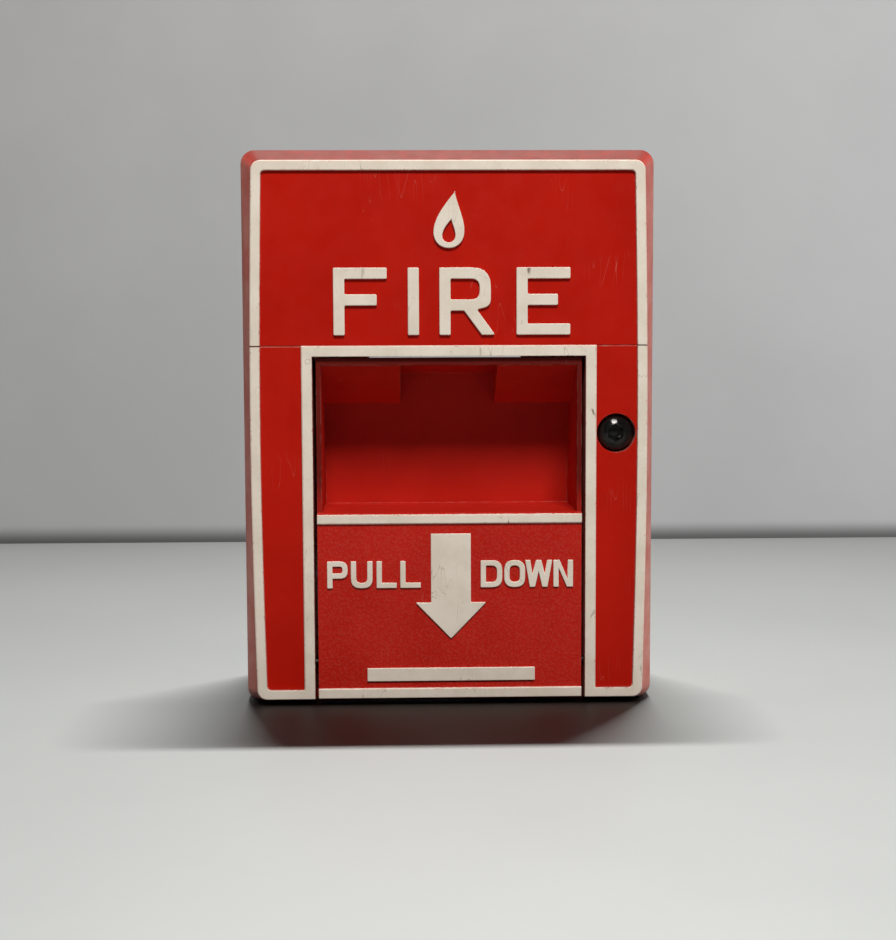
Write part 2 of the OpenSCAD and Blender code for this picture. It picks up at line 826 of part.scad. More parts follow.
// Moulded case of the snap switch, open on the side that its cap closes
module switch_case() {
    color(BLACK)
    difference() {
        box([switch_x, switch_y, switch_z],
            [switch_x + switch_t - cap_t, switch_back, switch_z + switch_l]);
        for (s = [-1, 1])
            rod_x(switch_x - 1, switch_x + switch_t + 1, switch_hole_y, switch_hole_z(s), switch_hole_r);
        rod_y(switch_mid, plunger_z, switch_y - 1, switch_y + 6, plunger_r + run_gap);
        for (z = tab_zs)
            tab_blade(z, 1);
    }
    color(BLACK)
    for (x = [switch_mid - arm_w / 2 - 1.6, switch_mid + arm_w / 2 + 0.3])
        difference() {
            box([x, arm_axis_y - 0.9, arm_axis_z - 1.2], [x + 1.3, switch_y + eps, arm_axis_z + 1.2]);
            rod_x(x - 1, x + 3, arm_axis_y, arm_axis_z, 0.5);
        }
}

module switch_cap() {
    color(BLACK)
    difference() {
        box([switch_x + switch_t - cap_t, switch_y, switch_z],
            [switch_x + switch_t, switch_back, switch_z + switch_l]);
        for (s = [-1, 1])
            rod_x(switch_x, switch_x + switch_t + 1, switch_hole_y, switch_hole_z(s), switch_hole_r);
    }
}

module switch_tabs() {
    color(BRASS)
    for (z = tab_zs)
        tab_blade(z, 5);
}

module switch_screws() {
    color(STEEL)
    for (s = [-1, 1]) {
        z = switch_hole_z(s);
        rod_x(bracket_x - 3, switch_x + switch_t, switch_hole_y, z, switch_hole_r);
        difference() {
            rod_x(switch_x + switch_t, switch_x + switch_t + 1.6, switch_hole_y, z, 2.6);
            box([switch_x + switch_t + 0.8, switch_hole_y - 3, z - 0.35],
                [switch_x + switch_t + 2, switch_hole_y + 3, z + 0.35]);
        }
    }
}

module switch_nuts() {
    color(STEEL)
    for (s = [-1, 1])
        translate([bracket_x - 2.2, switch_hole_y, switch_hole_z(s)])
            rotate([0, 90, 0])
                difference() {
                    cylinder(h = 2.2, d = 5.5 / cos(30), $fn = 6);
                    translate([0, 0, -1])
                        cylinder(h = 5, r = switch_hole_r);
                }
}

module arm_pin() {
    color(STEEL)
    rod_x(switch_mid - arm_w / 2 - 1.6, switch_mid + arm_w / 2 + 1.6, arm_axis_y, arm_axis_z, 0.5);
}

module switch_plunger() {
    color([0.75, 0.15, 0.10])
    rod_y(switch_mid, plunger_z, leaf_y + arm_t / 2 + run_gap, switch_y + 4.5, plunger_r);
}

// Sprung leaf of the switch, with a curled nose that rides on the lever's cam
module switch_arm() {
    nose_z = arm_axis_z - arm_l;
    nose_r = 1.6;
    nose_y = cam_y + seat_gap + nose_r;
    color(STEEL)
    difference() {
        union() {
            bar(switch_mid - arm_w / 2, switch_mid + arm_w / 2)
                polygon([[leaf_y - arm_t / 2, arm_axis_z + 0.8], [leaf_y + arm_t / 2, arm_axis_z + 0.8],
                    [leaf_y + arm_t / 2, nose_z + 4], [nose_y, nose_z + 0.3], [nose_y - 1, nose_z],
                    [leaf_y - arm_t / 2, nose_z + 4]]);
            rod_x(switch_mid - arm_w / 2, switch_mid + arm_w / 2, nose_y, nose_z, nose_r);
            rod_x(switch_mid - arm_w / 2, switch_mid + arm_w / 2, arm_axis_y, arm_axis_z, 1);
        }
        rod_x(switch_mid - arm_w, switch_mid + arm_w, arm_axis_y, arm_axis_z, 0.5 + run_gap);
        rod_x(switch_mid - arm_w, switch_mid + arm_w, nose_y, nose_z, nose_r - arm_t);
    }
}

// Push-on connectors on two of the switch's tabs
module tab_receptacles() {
    color(BRASS)
    for (z = [tab_zs[0], tab_zs[2]])
        difference() {
            box([switch_mid - 1.4, switch_back + 0.3, z - 3.7],
                [switch_mid + 1.4, switch_back + 6.2, z + 3.7]);
            box([switch_mid - tab_t / 2 - 0.02, switch_back - 1, z - tab_w / 2 - 0.02],
                [switch_mid + tab_t / 2 + 0.02, switch_back + 5.02, z + tab_w / 2 + 0.02]);
        }
}

module terminal_block() {
    z1 = block_z + block_h;
    color(BLACK)
    difference() {
        union() {
            box([-block_w / 2, plate_y - 5, block_z], [block_w / 2, plate_y, z1]);
            box([terminal_x(-0.5) - barrier_t / 2, block_y, block_z],
                [terminal_x(terminal_n - 0.5) + barrier_t / 2, plate_y, z1]);
            for (i = [0:terminal_n])
                box([terminal_x(i - 0.5) - barrier_t / 2, block_y - barrier_h, block_z],
                    [terminal_x(i - 0.5) + barrier_t / 2, block_y + 1, z1]);
        }
        both_sides()
            rod_y(block_screw_x, block_mid_z, block_y, plate_y + 1, 1.5);
        for (i = [0:terminal_n - 1])
            rod_y(terminal_x(i), block_mid_z, block_y - 1, plate_y - 1.5, 1.5);
    }
}

module block_screws() {
    color(STEEL)
    both_sides()
        pan_screw(block_screw_x, block_mid_z, plate_y - 5, back_y, small_screw_r, 2.6, 1.8);
}

// Square pressure plates under the terminal screws
module terminal_clamps() {
    color(BRASS)
    for (i = [0:terminal_n - 1])
        difference() {
            box([terminal_x(i) - clamp_w / 2, clamp_y, block_mid_z - clamp_w / 2],
                [terminal_x(i) + clamp_w / 2, block_y, block_mid_z + clamp_w / 2]);
            rod_y(terminal_x(i), block_mid_z, clamp_y - 1, block_y + 1, 1.6);
        }
}

module terminal_screws() {
    color(BRASS)
    for (i = [0:terminal_n - 1])
        pan_screw(terminal_x(i), block_mid_z, has_fork(i) ? clamp_y - fork_t : clamp_y,
            plate_y - 2, 1.5, 2.9, 1.8);
}

// Fork lugs at the ends of the two leads
module fork_lugs() {
    color(STEEL)
    for (i = [terminal_n - 2, terminal_n - 1])
        difference() {
            union() {
                box([terminal_x(i) - 2.9, clamp_y - fork_t, block_z - 1],
                    [terminal_x(i) + 2.9, clamp_y, block_mid_z + 2.6]);
                translate([terminal_x(i), clamp_y - fork_t, block_z - 5.5])
                    cylinder(h = 5, r = lug_r);
            }
            box([terminal_x(i) - 1.55, clamp_y - fork_t - 1, block_mid_z - 1.6],
                [terminal_x(i) + 1.55, clamp_y + 0.05, block_z + block_h]);
            translate([terminal_x(i), clamp_y - fork_t, block_z - 6])
                cylinder(h = 3.5, r = lead_r + 0.05);
        }
}

// Smooth curve through a list of points
function curve(p, steps) = [for (i = [0:len(p) - 2], s = [0:(i == len(p) - 2 ? steps : steps - 1)])
    let (t = s / steps,
         a = p[max(i - 1, 0)], b = p[i], c = p[i + 1], d = p[min(i + 2, len(p) - 1)])
    0.5 * (2 * b + (c - a) * t + (2 * a - 5 * b + 4 * c - d) * t * t
        + (3 * b - a - 3 * c + d) * t * t * t)];

// Lead from a push-on connector to a fork lug, rising at x_run and turning over at z_turn
module lead(z_tab, i, x_run, z_turn) {
    x0 = switch_mid + 1.55;
    y0 = switch_back + 5;
    y_run = plate_y - 6;
    end = [terminal_x(i), clamp_y - fork_t, block_z - 3];
    route = [
        [x0, y0, z_tab],
        [x0 + 2.5, y0, z_tab],
        [x_run - 6, y_run, z_tab + 2],
        [x_run, y_run, z_tab + 12],
        [x_run, y_run, strap_z + 8],
        [x_run, y_run, z_turn - 16],
        [x_run - 2, end[1] + 4, z_turn - 4],
        [x_run - 8, end[1] + 1, z_turn],
        [end[0] + 6, end[1], z_turn + 0.5],
        [end[0] + 0.4, end[1], block_z - 9],
        [end[0], end[1], block_z - 6.5],
        end];
    tube(curve(route, 4), lead_r, 8);
}

module lead_common() {
    color([0.08, 0.08, 0.09])
    lead(tab_zs[0], terminal_n - 1, lead_x + 3, block_z - 11);
}

module lead_alarm() {
    color([0.65, 0.08, 0.07])
    lead(tab_zs[2], terminal_n - 2, lead_x, block_z - 15);
}

front_cover();
lever_pin();
lever_spring();
stop_strap();
strap_screws();
stop_bumpers();
latch_spring();
latch_rivet();
pull_lever();
lever_cam();
cam_screws();
screw_retainer();
cover_screw();
wall_plate();
hinge_pins();
screw_standoff();
earth_screw();
earth_washer();
switch_bracket();
bracket_screws();
switch_case();
switch_cap();
switch_tabs();
switch_screws();
switch_nuts();
arm_pin();
switch_plunger();
switch_arm();
tab_receptacles();
terminal_block();
block_screws();
terminal_clamps();
terminal_screws();
fork_lugs();
lead_common();
lead_alarm();
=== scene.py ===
# %% [markdown]
# # A manual fire alarm pull station
# The station is a red moulded cover on a steel wall plate, with a lever in the front that is
# pulled down. The engineering model already holds every part at its true size, so this lesson
# adds what a model of that kind lacks: the finishes, the raised white lettering, the wear of
# years on a wall, and a plain studio to look at it in.

# %% Load the measured parts
import json
import math

import bmesh
import bpy
from mathutils import Matrix, Vector


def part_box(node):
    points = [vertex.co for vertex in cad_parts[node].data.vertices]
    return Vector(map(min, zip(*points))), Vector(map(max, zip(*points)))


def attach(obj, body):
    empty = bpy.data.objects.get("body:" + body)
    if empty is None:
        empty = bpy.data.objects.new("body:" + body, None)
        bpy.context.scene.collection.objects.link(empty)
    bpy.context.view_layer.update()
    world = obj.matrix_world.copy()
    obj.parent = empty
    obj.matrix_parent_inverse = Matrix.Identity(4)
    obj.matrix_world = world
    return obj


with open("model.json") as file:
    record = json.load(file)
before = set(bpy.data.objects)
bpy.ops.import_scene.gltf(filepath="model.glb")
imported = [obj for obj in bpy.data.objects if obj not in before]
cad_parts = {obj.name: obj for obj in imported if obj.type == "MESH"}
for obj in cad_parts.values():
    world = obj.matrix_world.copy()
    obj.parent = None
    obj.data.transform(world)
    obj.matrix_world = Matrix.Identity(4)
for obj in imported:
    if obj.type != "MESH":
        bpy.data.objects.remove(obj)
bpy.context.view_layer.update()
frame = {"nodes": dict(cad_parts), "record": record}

# %% [markdown]
# Everything here is in metres, which makes small parts awkward to write down. One value turns
# millimetres into metres, and the places that matter later are read from the parts themselves:
# the front plane, the middle of the cover and the two flat faces that carry lettering.

# %% Lengths and places
MM = 0.001
cover_low, cover_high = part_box("front_cover")
lever_low, lever_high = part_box("pull_lever")
front_y = cover_low.y
bottom_z = cover_low.z
middle_x = (cover_low.x + cover_high.x) / 2
BEAD_HEIGHT = 0.8 * MM
RAIL_HEIGHT = 0.6 * MM
cover_face_y = front_y + BEAD_HEIGHT
lever_face_y = front_y + RAIL_HEIGHT
for name, low, high in (("cover", cover_low, cover_high), ("lever", lever_low, lever_high)):
    print(name, "%.1f x %.1f mm" % tuple((high[i] - low[i]) / MM for i in (0, 2)))

# %% [markdown]
# Paint and plastic makers name colours in sRGB, as screens show them, but light adds up in
# linear values. One function reads the usual hex code and gives the linear colour.

# %% Colours from hex codes
def linear(code):
    def channel(pair):
        c = int(pair, 16) / 255
        return c / 12.92 if c <= 0.04045 else ((c + 0.055) / 1.055) ** 2.4

    digits = code.lstrip("#")
    return (*(channel(digits[i:i + 2]) for i in (0, 2, 4)), 1.0)


print("mid grey", [round(v, 3) for v in linear("#808080")])

# %% [markdown]
# A finish is a small network of nodes. Building one in code is mostly repetition: make a node,
# set a few properties, then fill or connect its inputs. One function does all three, so that
# each material below reads as a list of what it is made of. A second one starts a material and
# gives the place on the piece, so that a pattern stays with the piece when it moves.

# %% One way to add a node
def add(tree, kind, inputs=None, **settings):
    made = tree.nodes.new(kind)
    for name, value in settings.items():
        setattr(made, name, value)
    for socket, value in (inputs or {}).items():
        if isinstance(value, bpy.types.NodeSocket):
            tree.links.new(value, made.inputs[socket])
        else:
            made.inputs[socket].default_value = value
    return made


def start(name):
    material = bpy.data.materials.new(name)
    material.use_nodes = True
    tree = material.node_tree
    shader = tree.nodes["Principled BSDF"]
    place = add(tree, "ShaderNodeTexCoord").outputs["Object"]
    return material, tree, shader, place


print("ready:", add.__name__, start.__name__)

# %% [markdown]
# Three small recipes of several nodes come back in nearly every finish, so they are written
# once. A pattern's scale is given as the real size of one grain in millimetres. Fine scratches
# are the thin contour lines of a stretched noise, kept only in patches, because real handling
# marks come in groups. A worn edge is found where a slightly rounded surface turns away from
# the true one. The rest is done with three kinds of node: Map Range picks out the values
# between two limits with a soft step, Math combines masks, and Mix lays one colour over another.

# %% Recipes for patterns
def grain(tree, place, size_mm, detail=2.0, roughness=0.5, stretch=(1, 1, 1), turn=0.0):
    moved = add(tree, "ShaderNodeMapping",
                {"Vector": place, "Rotation": (0, turn, 0), "Scale": stretch})
    noise = add(tree, "ShaderNodeTexNoise",
                {"Vector": moved.outputs[0], "Scale": 1 / (size_mm * MM), "Detail": detail,
                 "Roughness": roughness})
    return noise.outputs["Fac"]


def scratches(tree, place, length_mm, turn, width=0.006, patch_mm=14.0, share=0.60):
    lines = grain(tree, place, 1.6, 0.0, 0.5, (1, 1, 1.6 / length_mm), turn)
    off_middle = add(tree, "ShaderNodeMath",
                     {0: add(tree, "ShaderNodeMath", {0: lines, 1: 0.5},
                             operation="SUBTRACT").outputs[0]}, operation="ABSOLUTE").outputs[0]
    thin = add(tree, "ShaderNodeMapRange",
               {"Value": off_middle, "From Min": 0.0, "From Max": width, "To Min": 1.0, "To Max": 0.0},
               interpolation_type="SMOOTHSTEP").outputs["Result"]
    patch = add(tree, "ShaderNodeMapRange",
                {"Value": grain(tree, place, patch_mm, 1.0), "From Min": share,
                 "From Max": share + 0.08}, interpolation_type="SMOOTHSTEP").outputs["Result"]
    return add(tree, "ShaderNodeMath", {0: thin, 1: patch}, operation="MULTIPLY").outputs[0]


def worn_edges(tree, radius_mm):
    soft = add(tree, "ShaderNodeBevel", {"Radius": radius_mm * MM}, samples=6).outputs[0]
    flat = add(tree, "ShaderNodeNewGeometry").outputs["Normal"]
    agreement = add(tree, "ShaderNodeVectorMath", {0: soft, 1: flat}, operation="DOT_PRODUCT")
    turned = add(tree, "ShaderNodeMapRange",
                 {"Value": agreement.outputs["Value"], "From Min": 0.93, "From Max": 0.995,
                  "To Min": 1.0, "To Max": 0.0}, interpolation_type="SMOOTHSTEP").outputs["Result"]
    return soft, turned


print("recipes:", grain.__name__, scratches.__name__, worn_edges.__name__)

# %% [markdown]
# ## The white print
# On the real cover the border, the frame and the letters stand up from the face, and a hot
# stamping press lays white foil over whatever is highest. That leaves a cream, slightly glossy
# skin on the tops, a thin pinkish line where it runs out over the edge, fine cracks, grey
# scuffs and small chips. It could be a separate thin mesh, but on the cover and the lever the
# foil follows the height of the surface, so here it is a colour chosen by depth. The same
# recipe finishes the separate letters.

# %% Colour and roughness of the stamped foil
FOIL_CLEAN = linear("#E8DFD3")
FOIL_AGED = linear("#DDD3C5")
FOIL_EDGE = linear("#E9A592")
FOIL_CRACK = linear("#5C4A3E")
FOIL_SCUFF = linear("#A39C8E")


def foil_colour(tree, place, edge):
    ageing = add(tree, "ShaderNodeMapRange",
                 {"Value": grain(tree, place, 9.0, 4.0, 0.6), "From Min": 0.35, "From Max": 0.7},
                 interpolation_type="SMOOTHSTEP").outputs["Result"]
    colour = add(tree, "ShaderNodeMix", {0: ageing, 6: FOIL_CLEAN, 7: FOIL_AGED},
                 data_type="RGBA").outputs[2]
    mottle = add(tree, "ShaderNodeMapRange",
                 {"Value": grain(tree, place, 0.7, 3.0, 0.6), "From Min": 0.52, "From Max": 0.75,
                  "To Min": 0.0, "To Max": 0.35}, interpolation_type="SMOOTHSTEP").outputs["Result"]
    colour = add(tree, "ShaderNodeMix", {0: mottle, 6: colour, 7: FOIL_AGED},
                 data_type="RGBA").outputs[2]
    scuff = scratches(tree, place, 9.0, 1.2, 0.012, 8.0, 0.56)
    colour = add(tree, "ShaderNodeMix",
                 {0: add(tree, "ShaderNodeMath", {0: scuff, 1: 0.55}, operation="MULTIPLY").outputs[0],
                  6: colour, 7: FOIL_SCUFF}, data_type="RGBA").outputs[2]
    crack = scratches(tree, place, 4.0, 0.55, 0.008, 7.0, 0.62)
    colour = add(tree, "ShaderNodeMix",
                 {0: add(tree, "ShaderNodeMath", {0: crack, 1: 0.8}, operation="MULTIPLY").outputs[0],
                  6: colour, 7: FOIL_CRACK}, data_type="RGBA").outputs[2]
    fleck = add(tree, "ShaderNodeMapRange",
                {"Value": grain(tree, place, 0.45, 2.0, 0.7), "From Min": 0.735, "From Max": 0.76},
                interpolation_type="SMOOTHSTEP").outputs["Result"]
    colour = add(tree, "ShaderNodeMix",
                 {0: add(tree, "ShaderNodeMath", {0: fleck, 1: 0.8}, operation="MULTIPLY").outputs[0],
                  6: colour, 7: FOIL_CRACK}, data_type="RGBA").outputs[2]
    rim = add(tree, "ShaderNodeMath",
              {0: edge,
               1: add(tree, "ShaderNodeMapRange",
                      {"Value": grain(tree, place, 1.1, 3.0), "From Min": 0.35, "From Max": 0.62},
                      interpolation_type="SMOOTHSTEP").outputs["Result"]},
              operation="MULTIPLY").outputs[0]
    return add(tree, "ShaderNodeMix",
               {0: add(tree, "ShaderNodeMath", {0: rim, 1: 0.75}, operation="MULTIPLY").outputs[0],
                6: colour, 7: FOIL_EDGE}, data_type="RGBA").outputs[2]


def stamped_white():
    material, tree, shader, place = start("hot_stamped_white")
    soft, edge = worn_edges(tree, 0.22)
    tree.links.new(foil_colour(tree, place, edge), shader.inputs["Base Color"])
    rough = add(tree, "ShaderNodeMapRange",
                {"Value": grain(tree, place, 2.5, 3.0), "From Min": 0.3, "From Max": 0.7,
                 "To Min": 0.38, "To Max": 0.55}, interpolation_type="SMOOTHSTEP").outputs["Result"]
    tree.links.new(rough, shader.inputs["Roughness"])
    bump = add(tree, "ShaderNodeBump",
               {"Height": grain(tree, place, 0.5, 3.0), "Distance": 0.02 * MM, "Normal": soft})
    tree.links.new(bump.outputs[0], shader.inputs["Normal"])
    shader.inputs["IOR"].default_value = 1.47
    return material


white_print = stamped_white()
print("made", white_print.name)

# %% [markdown]
# ## Red plastic of the cover and the lever
# Both are injection moulded in a through-coloured polycarbonate blend. The cover's mould was
# satin, which gives a soft, even sheen with a slight orange peel. The lever's front was
# etched to a pebble of about 0.6 mm, so that fingers grip it, and it looks lighter and duller.
# Light scatters deeper in the worn, sloping edge around the face, where hands and cloths have
# bleached the red to a chalky pink. That pale band is partly real bloom and partly a painted
# reflection, as a glossy side seen at a grazing angle mirrors the pale room. Through-coloured
# plastic has no paint to chip, so wear shows as polish, dust, scratches and that bloom. The rim
# behind the lever's front panel is painted darker towards the finger pocket, a painted shade
# where the frame above shades it.
#
# One function makes both, with the height of the foil, the pebble and the line across the
# cover's face as its choices. Only the cover gets the bloom with its painted reflection, and
# the dust. Heights are in millimetres above the bottom edge, and depths are in millimetres
# behind the front plane.

# %% Moulded red with foil on its high places
RED_DEEP = linear("#AE1304")
RED_LIGHT = linear("#B81707")
LEVER_DEEP = linear("#B41D12")
LEVER_LIGHT = linear("#BE2318")
# Chalky pink of bloom and rubbed wear, also used as the painted reflection on the cover's sides.
BLOOM_AND_SHEEN = linear("#D9A79B")
DUST = linear("#5E4A44")
# Dark red for real specks of dirt, and for the painted shade on the lever's rim.
DIRT_AND_SHADE = linear("#2E1310")
SEAM_HEIGHT = 90.9 * MM
FRAME_HALF = 37.1 * MM
FOIL_DEPTH = 0.36 * MM
PEBBLE_MM = 0.60
POCKET_FLOOR_MM = 48.9
# Heights over which the painted shade on the lever's rim deepens towards the finger pocket.
RIM_SHADE_START_MM, RIM_SHADE_FULL_MM = 50, 58
RIM_FRONT_MM, RIM_BACK_MM = 1.4, 2.4
# Below this height the pale band on the cover's sides, bloom and painted reflection, is stronger.
SIDE_BAND_FADE_MM = 90
print("the foil reaches %.2f mm below the highest places" % (FOIL_DEPTH / MM))

# %% [markdown]
# The grip is a pattern of round cells, kept to the front plane of the lever. Its tips are
# rubbed a little paler. The rim behind it is painted darker towards the finger pocket: painted
# shade, where the frame above shades it.

# %% The pebbled grip and the painted shade on its rim
def pebbled_grip(tree, place, axes, pebble_plane, colour):
    cells = add(tree, "ShaderNodeTexVoronoi", {"Vector": place, "Scale": 1 / (PEBBLE_MM * MM)},
                feature="SMOOTH_F1").outputs["Distance"]
    on_front = add(tree, "ShaderNodeMapRange",
                   {"Value": axes["Y"], "From Min": pebble_plane, "From Max": pebble_plane + 0.3 * MM,
                    "To Min": 1.0, "To Max": 0.0}, interpolation_type="SMOOTHSTEP").outputs["Result"]
    pebble = add(tree, "ShaderNodeMath", {0: cells, 1: on_front}, operation="MULTIPLY").outputs[0]
    top = add(tree, "ShaderNodeMapRange",
              {"Value": cells, "From Min": 0.15, "From Max": 0.55, "To Min": 1.0, "To Max": 0.0},
              interpolation_type="SMOOTHSTEP").outputs["Result"]
    tips = add(tree, "ShaderNodeMath",
               {0: top,
                1: add(tree, "ShaderNodeMath", {0: on_front, 1: 0.04},
                       operation="MULTIPLY").outputs[0]}, operation="MULTIPLY").outputs[0]
    colour = add(tree, "ShaderNodeMix", {0: tips, 6: colour, 7: BLOOM_AND_SHEEN}, data_type="RGBA").outputs[2]
    # Painted shade: the rim behind the front panel, above the pocket floor, is darkened towards the
    # pocket.
    above = add(tree, "ShaderNodeMapRange",
                {"Value": axes["Z"], "From Min": bottom_z + RIM_SHADE_START_MM * MM,
                 "From Max": bottom_z + RIM_SHADE_FULL_MM * MM, "To Min": 0.35, "To Max": 0.78},
                interpolation_type="SMOOTHSTEP").outputs["Result"]
    ring = add(tree, "ShaderNodeMapRange",
               {"Value": axes["Y"], "From Min": front_y + RIM_FRONT_MM * MM,
                "From Max": front_y + RIM_BACK_MM * MM, "To Min": 1.0, "To Max": 0.0},
               interpolation_type="SMOOTHSTEP").outputs["Result"]
    hidden = add(tree, "ShaderNodeMapRange",
                 {"Value": axes["Z"], "From Min": bottom_z + POCKET_FLOOR_MM * MM,
                  "From Max": bottom_z + (POCKET_FLOOR_MM + 0.3) * MM},
                 interpolation_type="SMOOTHSTEP").outputs["Result"]
    painted_rim_shade = add(tree, "ShaderNodeMath",
                {0: above,
                 1: add(tree, "ShaderNodeMath", {0: ring, 1: hidden}, operation="MULTIPLY").outputs[0]},
                operation="MULTIPLY").outputs[0]
    colour = add(tree, "ShaderNodeMix", {0: painted_rim_shade, 6: colour, 7: DIRT_AND_SHADE}, data_type="RGBA").outputs[2]
    return colour, pebble


print("pebbles of %.2f mm" % PEBBLE_MM)

# %% [markdown]
# Use leaves three marks on a moulded part: edges rubbed pale in places, long fine scratches,
# and small dark specks where dirt has stuck.

# %% Marks of use
def marked_by_use(tree, place, edge, colour):
    rubbed = add(tree, "ShaderNodeMath",
                 {0: edge,
                  1: add(tree, "ShaderNodeMapRange",
                         {"Value": grain(tree, place, 2.2, 3.0), "From Min": 0.4, "From Max": 0.7},
                         interpolation_type="SMOOTHSTEP").outputs["Result"]},
                 operation="MULTIPLY").outputs[0]
    colour = add(tree, "ShaderNodeMix",
                 {0: add(tree, "ShaderNodeMath", {0: rubbed, 1: 0.22}, operation="MULTIPLY").outputs[0],
                  6: colour, 7: BLOOM_AND_SHEEN}, data_type="RGBA").outputs[2]
    marks = scratches(tree, place, 16.0, 0.35)
    colour = add(tree, "ShaderNodeMix",
                 {0: add(tree, "ShaderNodeMath", {0: marks, 1: 0.22}, operation="MULTIPLY").outputs[0],
                  6: colour, 7: BLOOM_AND_SHEEN}, data_type="RGBA").outputs[2]
    specks = add(tree, "ShaderNodeMapRange",
                 {"Value": grain(tree, place, 0.55, 2.0, 0.7), "From Min": 0.72, "From Max": 0.75},
                 interpolation_type="SMOOTHSTEP").outputs["Result"]
    colour = add(tree, "ShaderNodeMix",
                 {0: add(tree, "ShaderNodeMath", {0: specks, 1: 0.5}, operation="MULTIPLY").outputs[0],
                  6: colour, 7: DIRT_AND_SHADE}, data_type="RGBA").outputs[2]
    return colour


print("recipe:", marked_by_use.__name__)

# %% [markdown]
# The pale band lies on faces that look sideways, and it is cloudy. It is partly chalky bloom
# and partly a painted reflection of the room, painted weaker on faces that look up and stronger
# near the bottom edge, where the table is mirrored. Dust lies on faces that look up. Which way a
# face looks is read on the piece itself, so that both stay in place when the cover swings.

# %% Chalky bloom with a painted reflection, and dust
def bloom_sheen_dust(tree, place, axes, facing, outside, colour):
    # Bloom and painted reflection: a pale band on faces that look sideways, weaker on faces that look
    # up, stronger near the bottom.
    sideways = add(tree, "ShaderNodeMapRange",
                   {"Value": add(tree, "ShaderNodeMath", {0: facing["Y"]},
                                 operation="ABSOLUTE").outputs[0], "From Min": 0.42, "From Max": 0.8,
                    "To Min": 1.0, "To Max": 0.0}, interpolation_type="SMOOTHSTEP").outputs["Result"]
    cloudy = add(tree, "ShaderNodeMapRange",
                 {"Value": grain(tree, place, 7.0, 4.0, 0.65), "From Min": 0.3, "From Max": 0.7,
                  "To Min": 0.36, "To Max": 0.6}, interpolation_type="SMOOTHSTEP").outputs["Result"]
    bloom_sheen_mask = add(tree, "ShaderNodeMath",
               {0: add(tree, "ShaderNodeMath", {0: sideways, 1: cloudy},
                       operation="MULTIPLY").outputs[0], 1: outside}, operation="MULTIPLY").outputs[0]
    flank = add(tree, "ShaderNodeMath",
                {0: add(tree, "ShaderNodeMapRange",
                        {"Value": facing["Z"], "From Min": 0.2, "From Max": 0.8, "To Min": 1.0,
                         "To Max": 0.22}, interpolation_type="SMOOTHSTEP").outputs["Result"],
                 1: add(tree, "ShaderNodeMapRange",
                        {"Value": axes["Z"], "From Min": bottom_z,
                         "From Max": bottom_z + SIDE_BAND_FADE_MM * MM, "To Min": 1.3, "To Max": 1.0},
                        interpolation_type="SMOOTHSTEP").outputs["Result"]},
                operation="MULTIPLY").outputs[0]
    colour = add(tree, "ShaderNodeMix",
                 {0: add(tree, "ShaderNodeMath", {0: bloom_sheen_mask, 1: flank}, operation="MULTIPLY").outputs[0],
                  6: colour, 7: BLOOM_AND_SHEEN}, data_type="RGBA").outputs[2]
    upward = add(tree, "ShaderNodeMapRange",
                 {"Value": facing["Z"], "From Min": 0.4, "From Max": 0.95, "To Min": 0.0,
                  "To Max": 0.7}, interpolation_type="SMOOTHSTEP").outputs["Result"]
    dusty = add(tree, "ShaderNodeMath",
                {0: upward,
                 1: add(tree, "ShaderNodeMapRange",
                        {"Value": grain(tree, place, 3.0, 4.0), "From Min": 0.2, "From Max": 0.6,
                         "To Min": 0.7, "To Max": 1.0},
                        interpolation_type="SMOOTHSTEP").outputs["Result"]},
                operation="MULTIPLY").outputs[0]
    colour = add(tree, "ShaderNodeMix",
                 {0: add(tree, "ShaderNodeMath", {0: dusty, 1: outside},
                         operation="MULTIPLY").outputs[0], 6: colour, 7: DUST},
                 data_type="RGBA").outputs[2]
    return colour, bloom_sheen_mask


print("bloom is strongest below %d mm" % SIDE_BAND_FADE_MM)

# %% [markdown]
# The foil covers whatever stands higher than one depth, with a slightly ragged border, and a
# few chips are missing along its edges. On the cover it is broken by a thin dark line across
# the face, beside the window's frame.

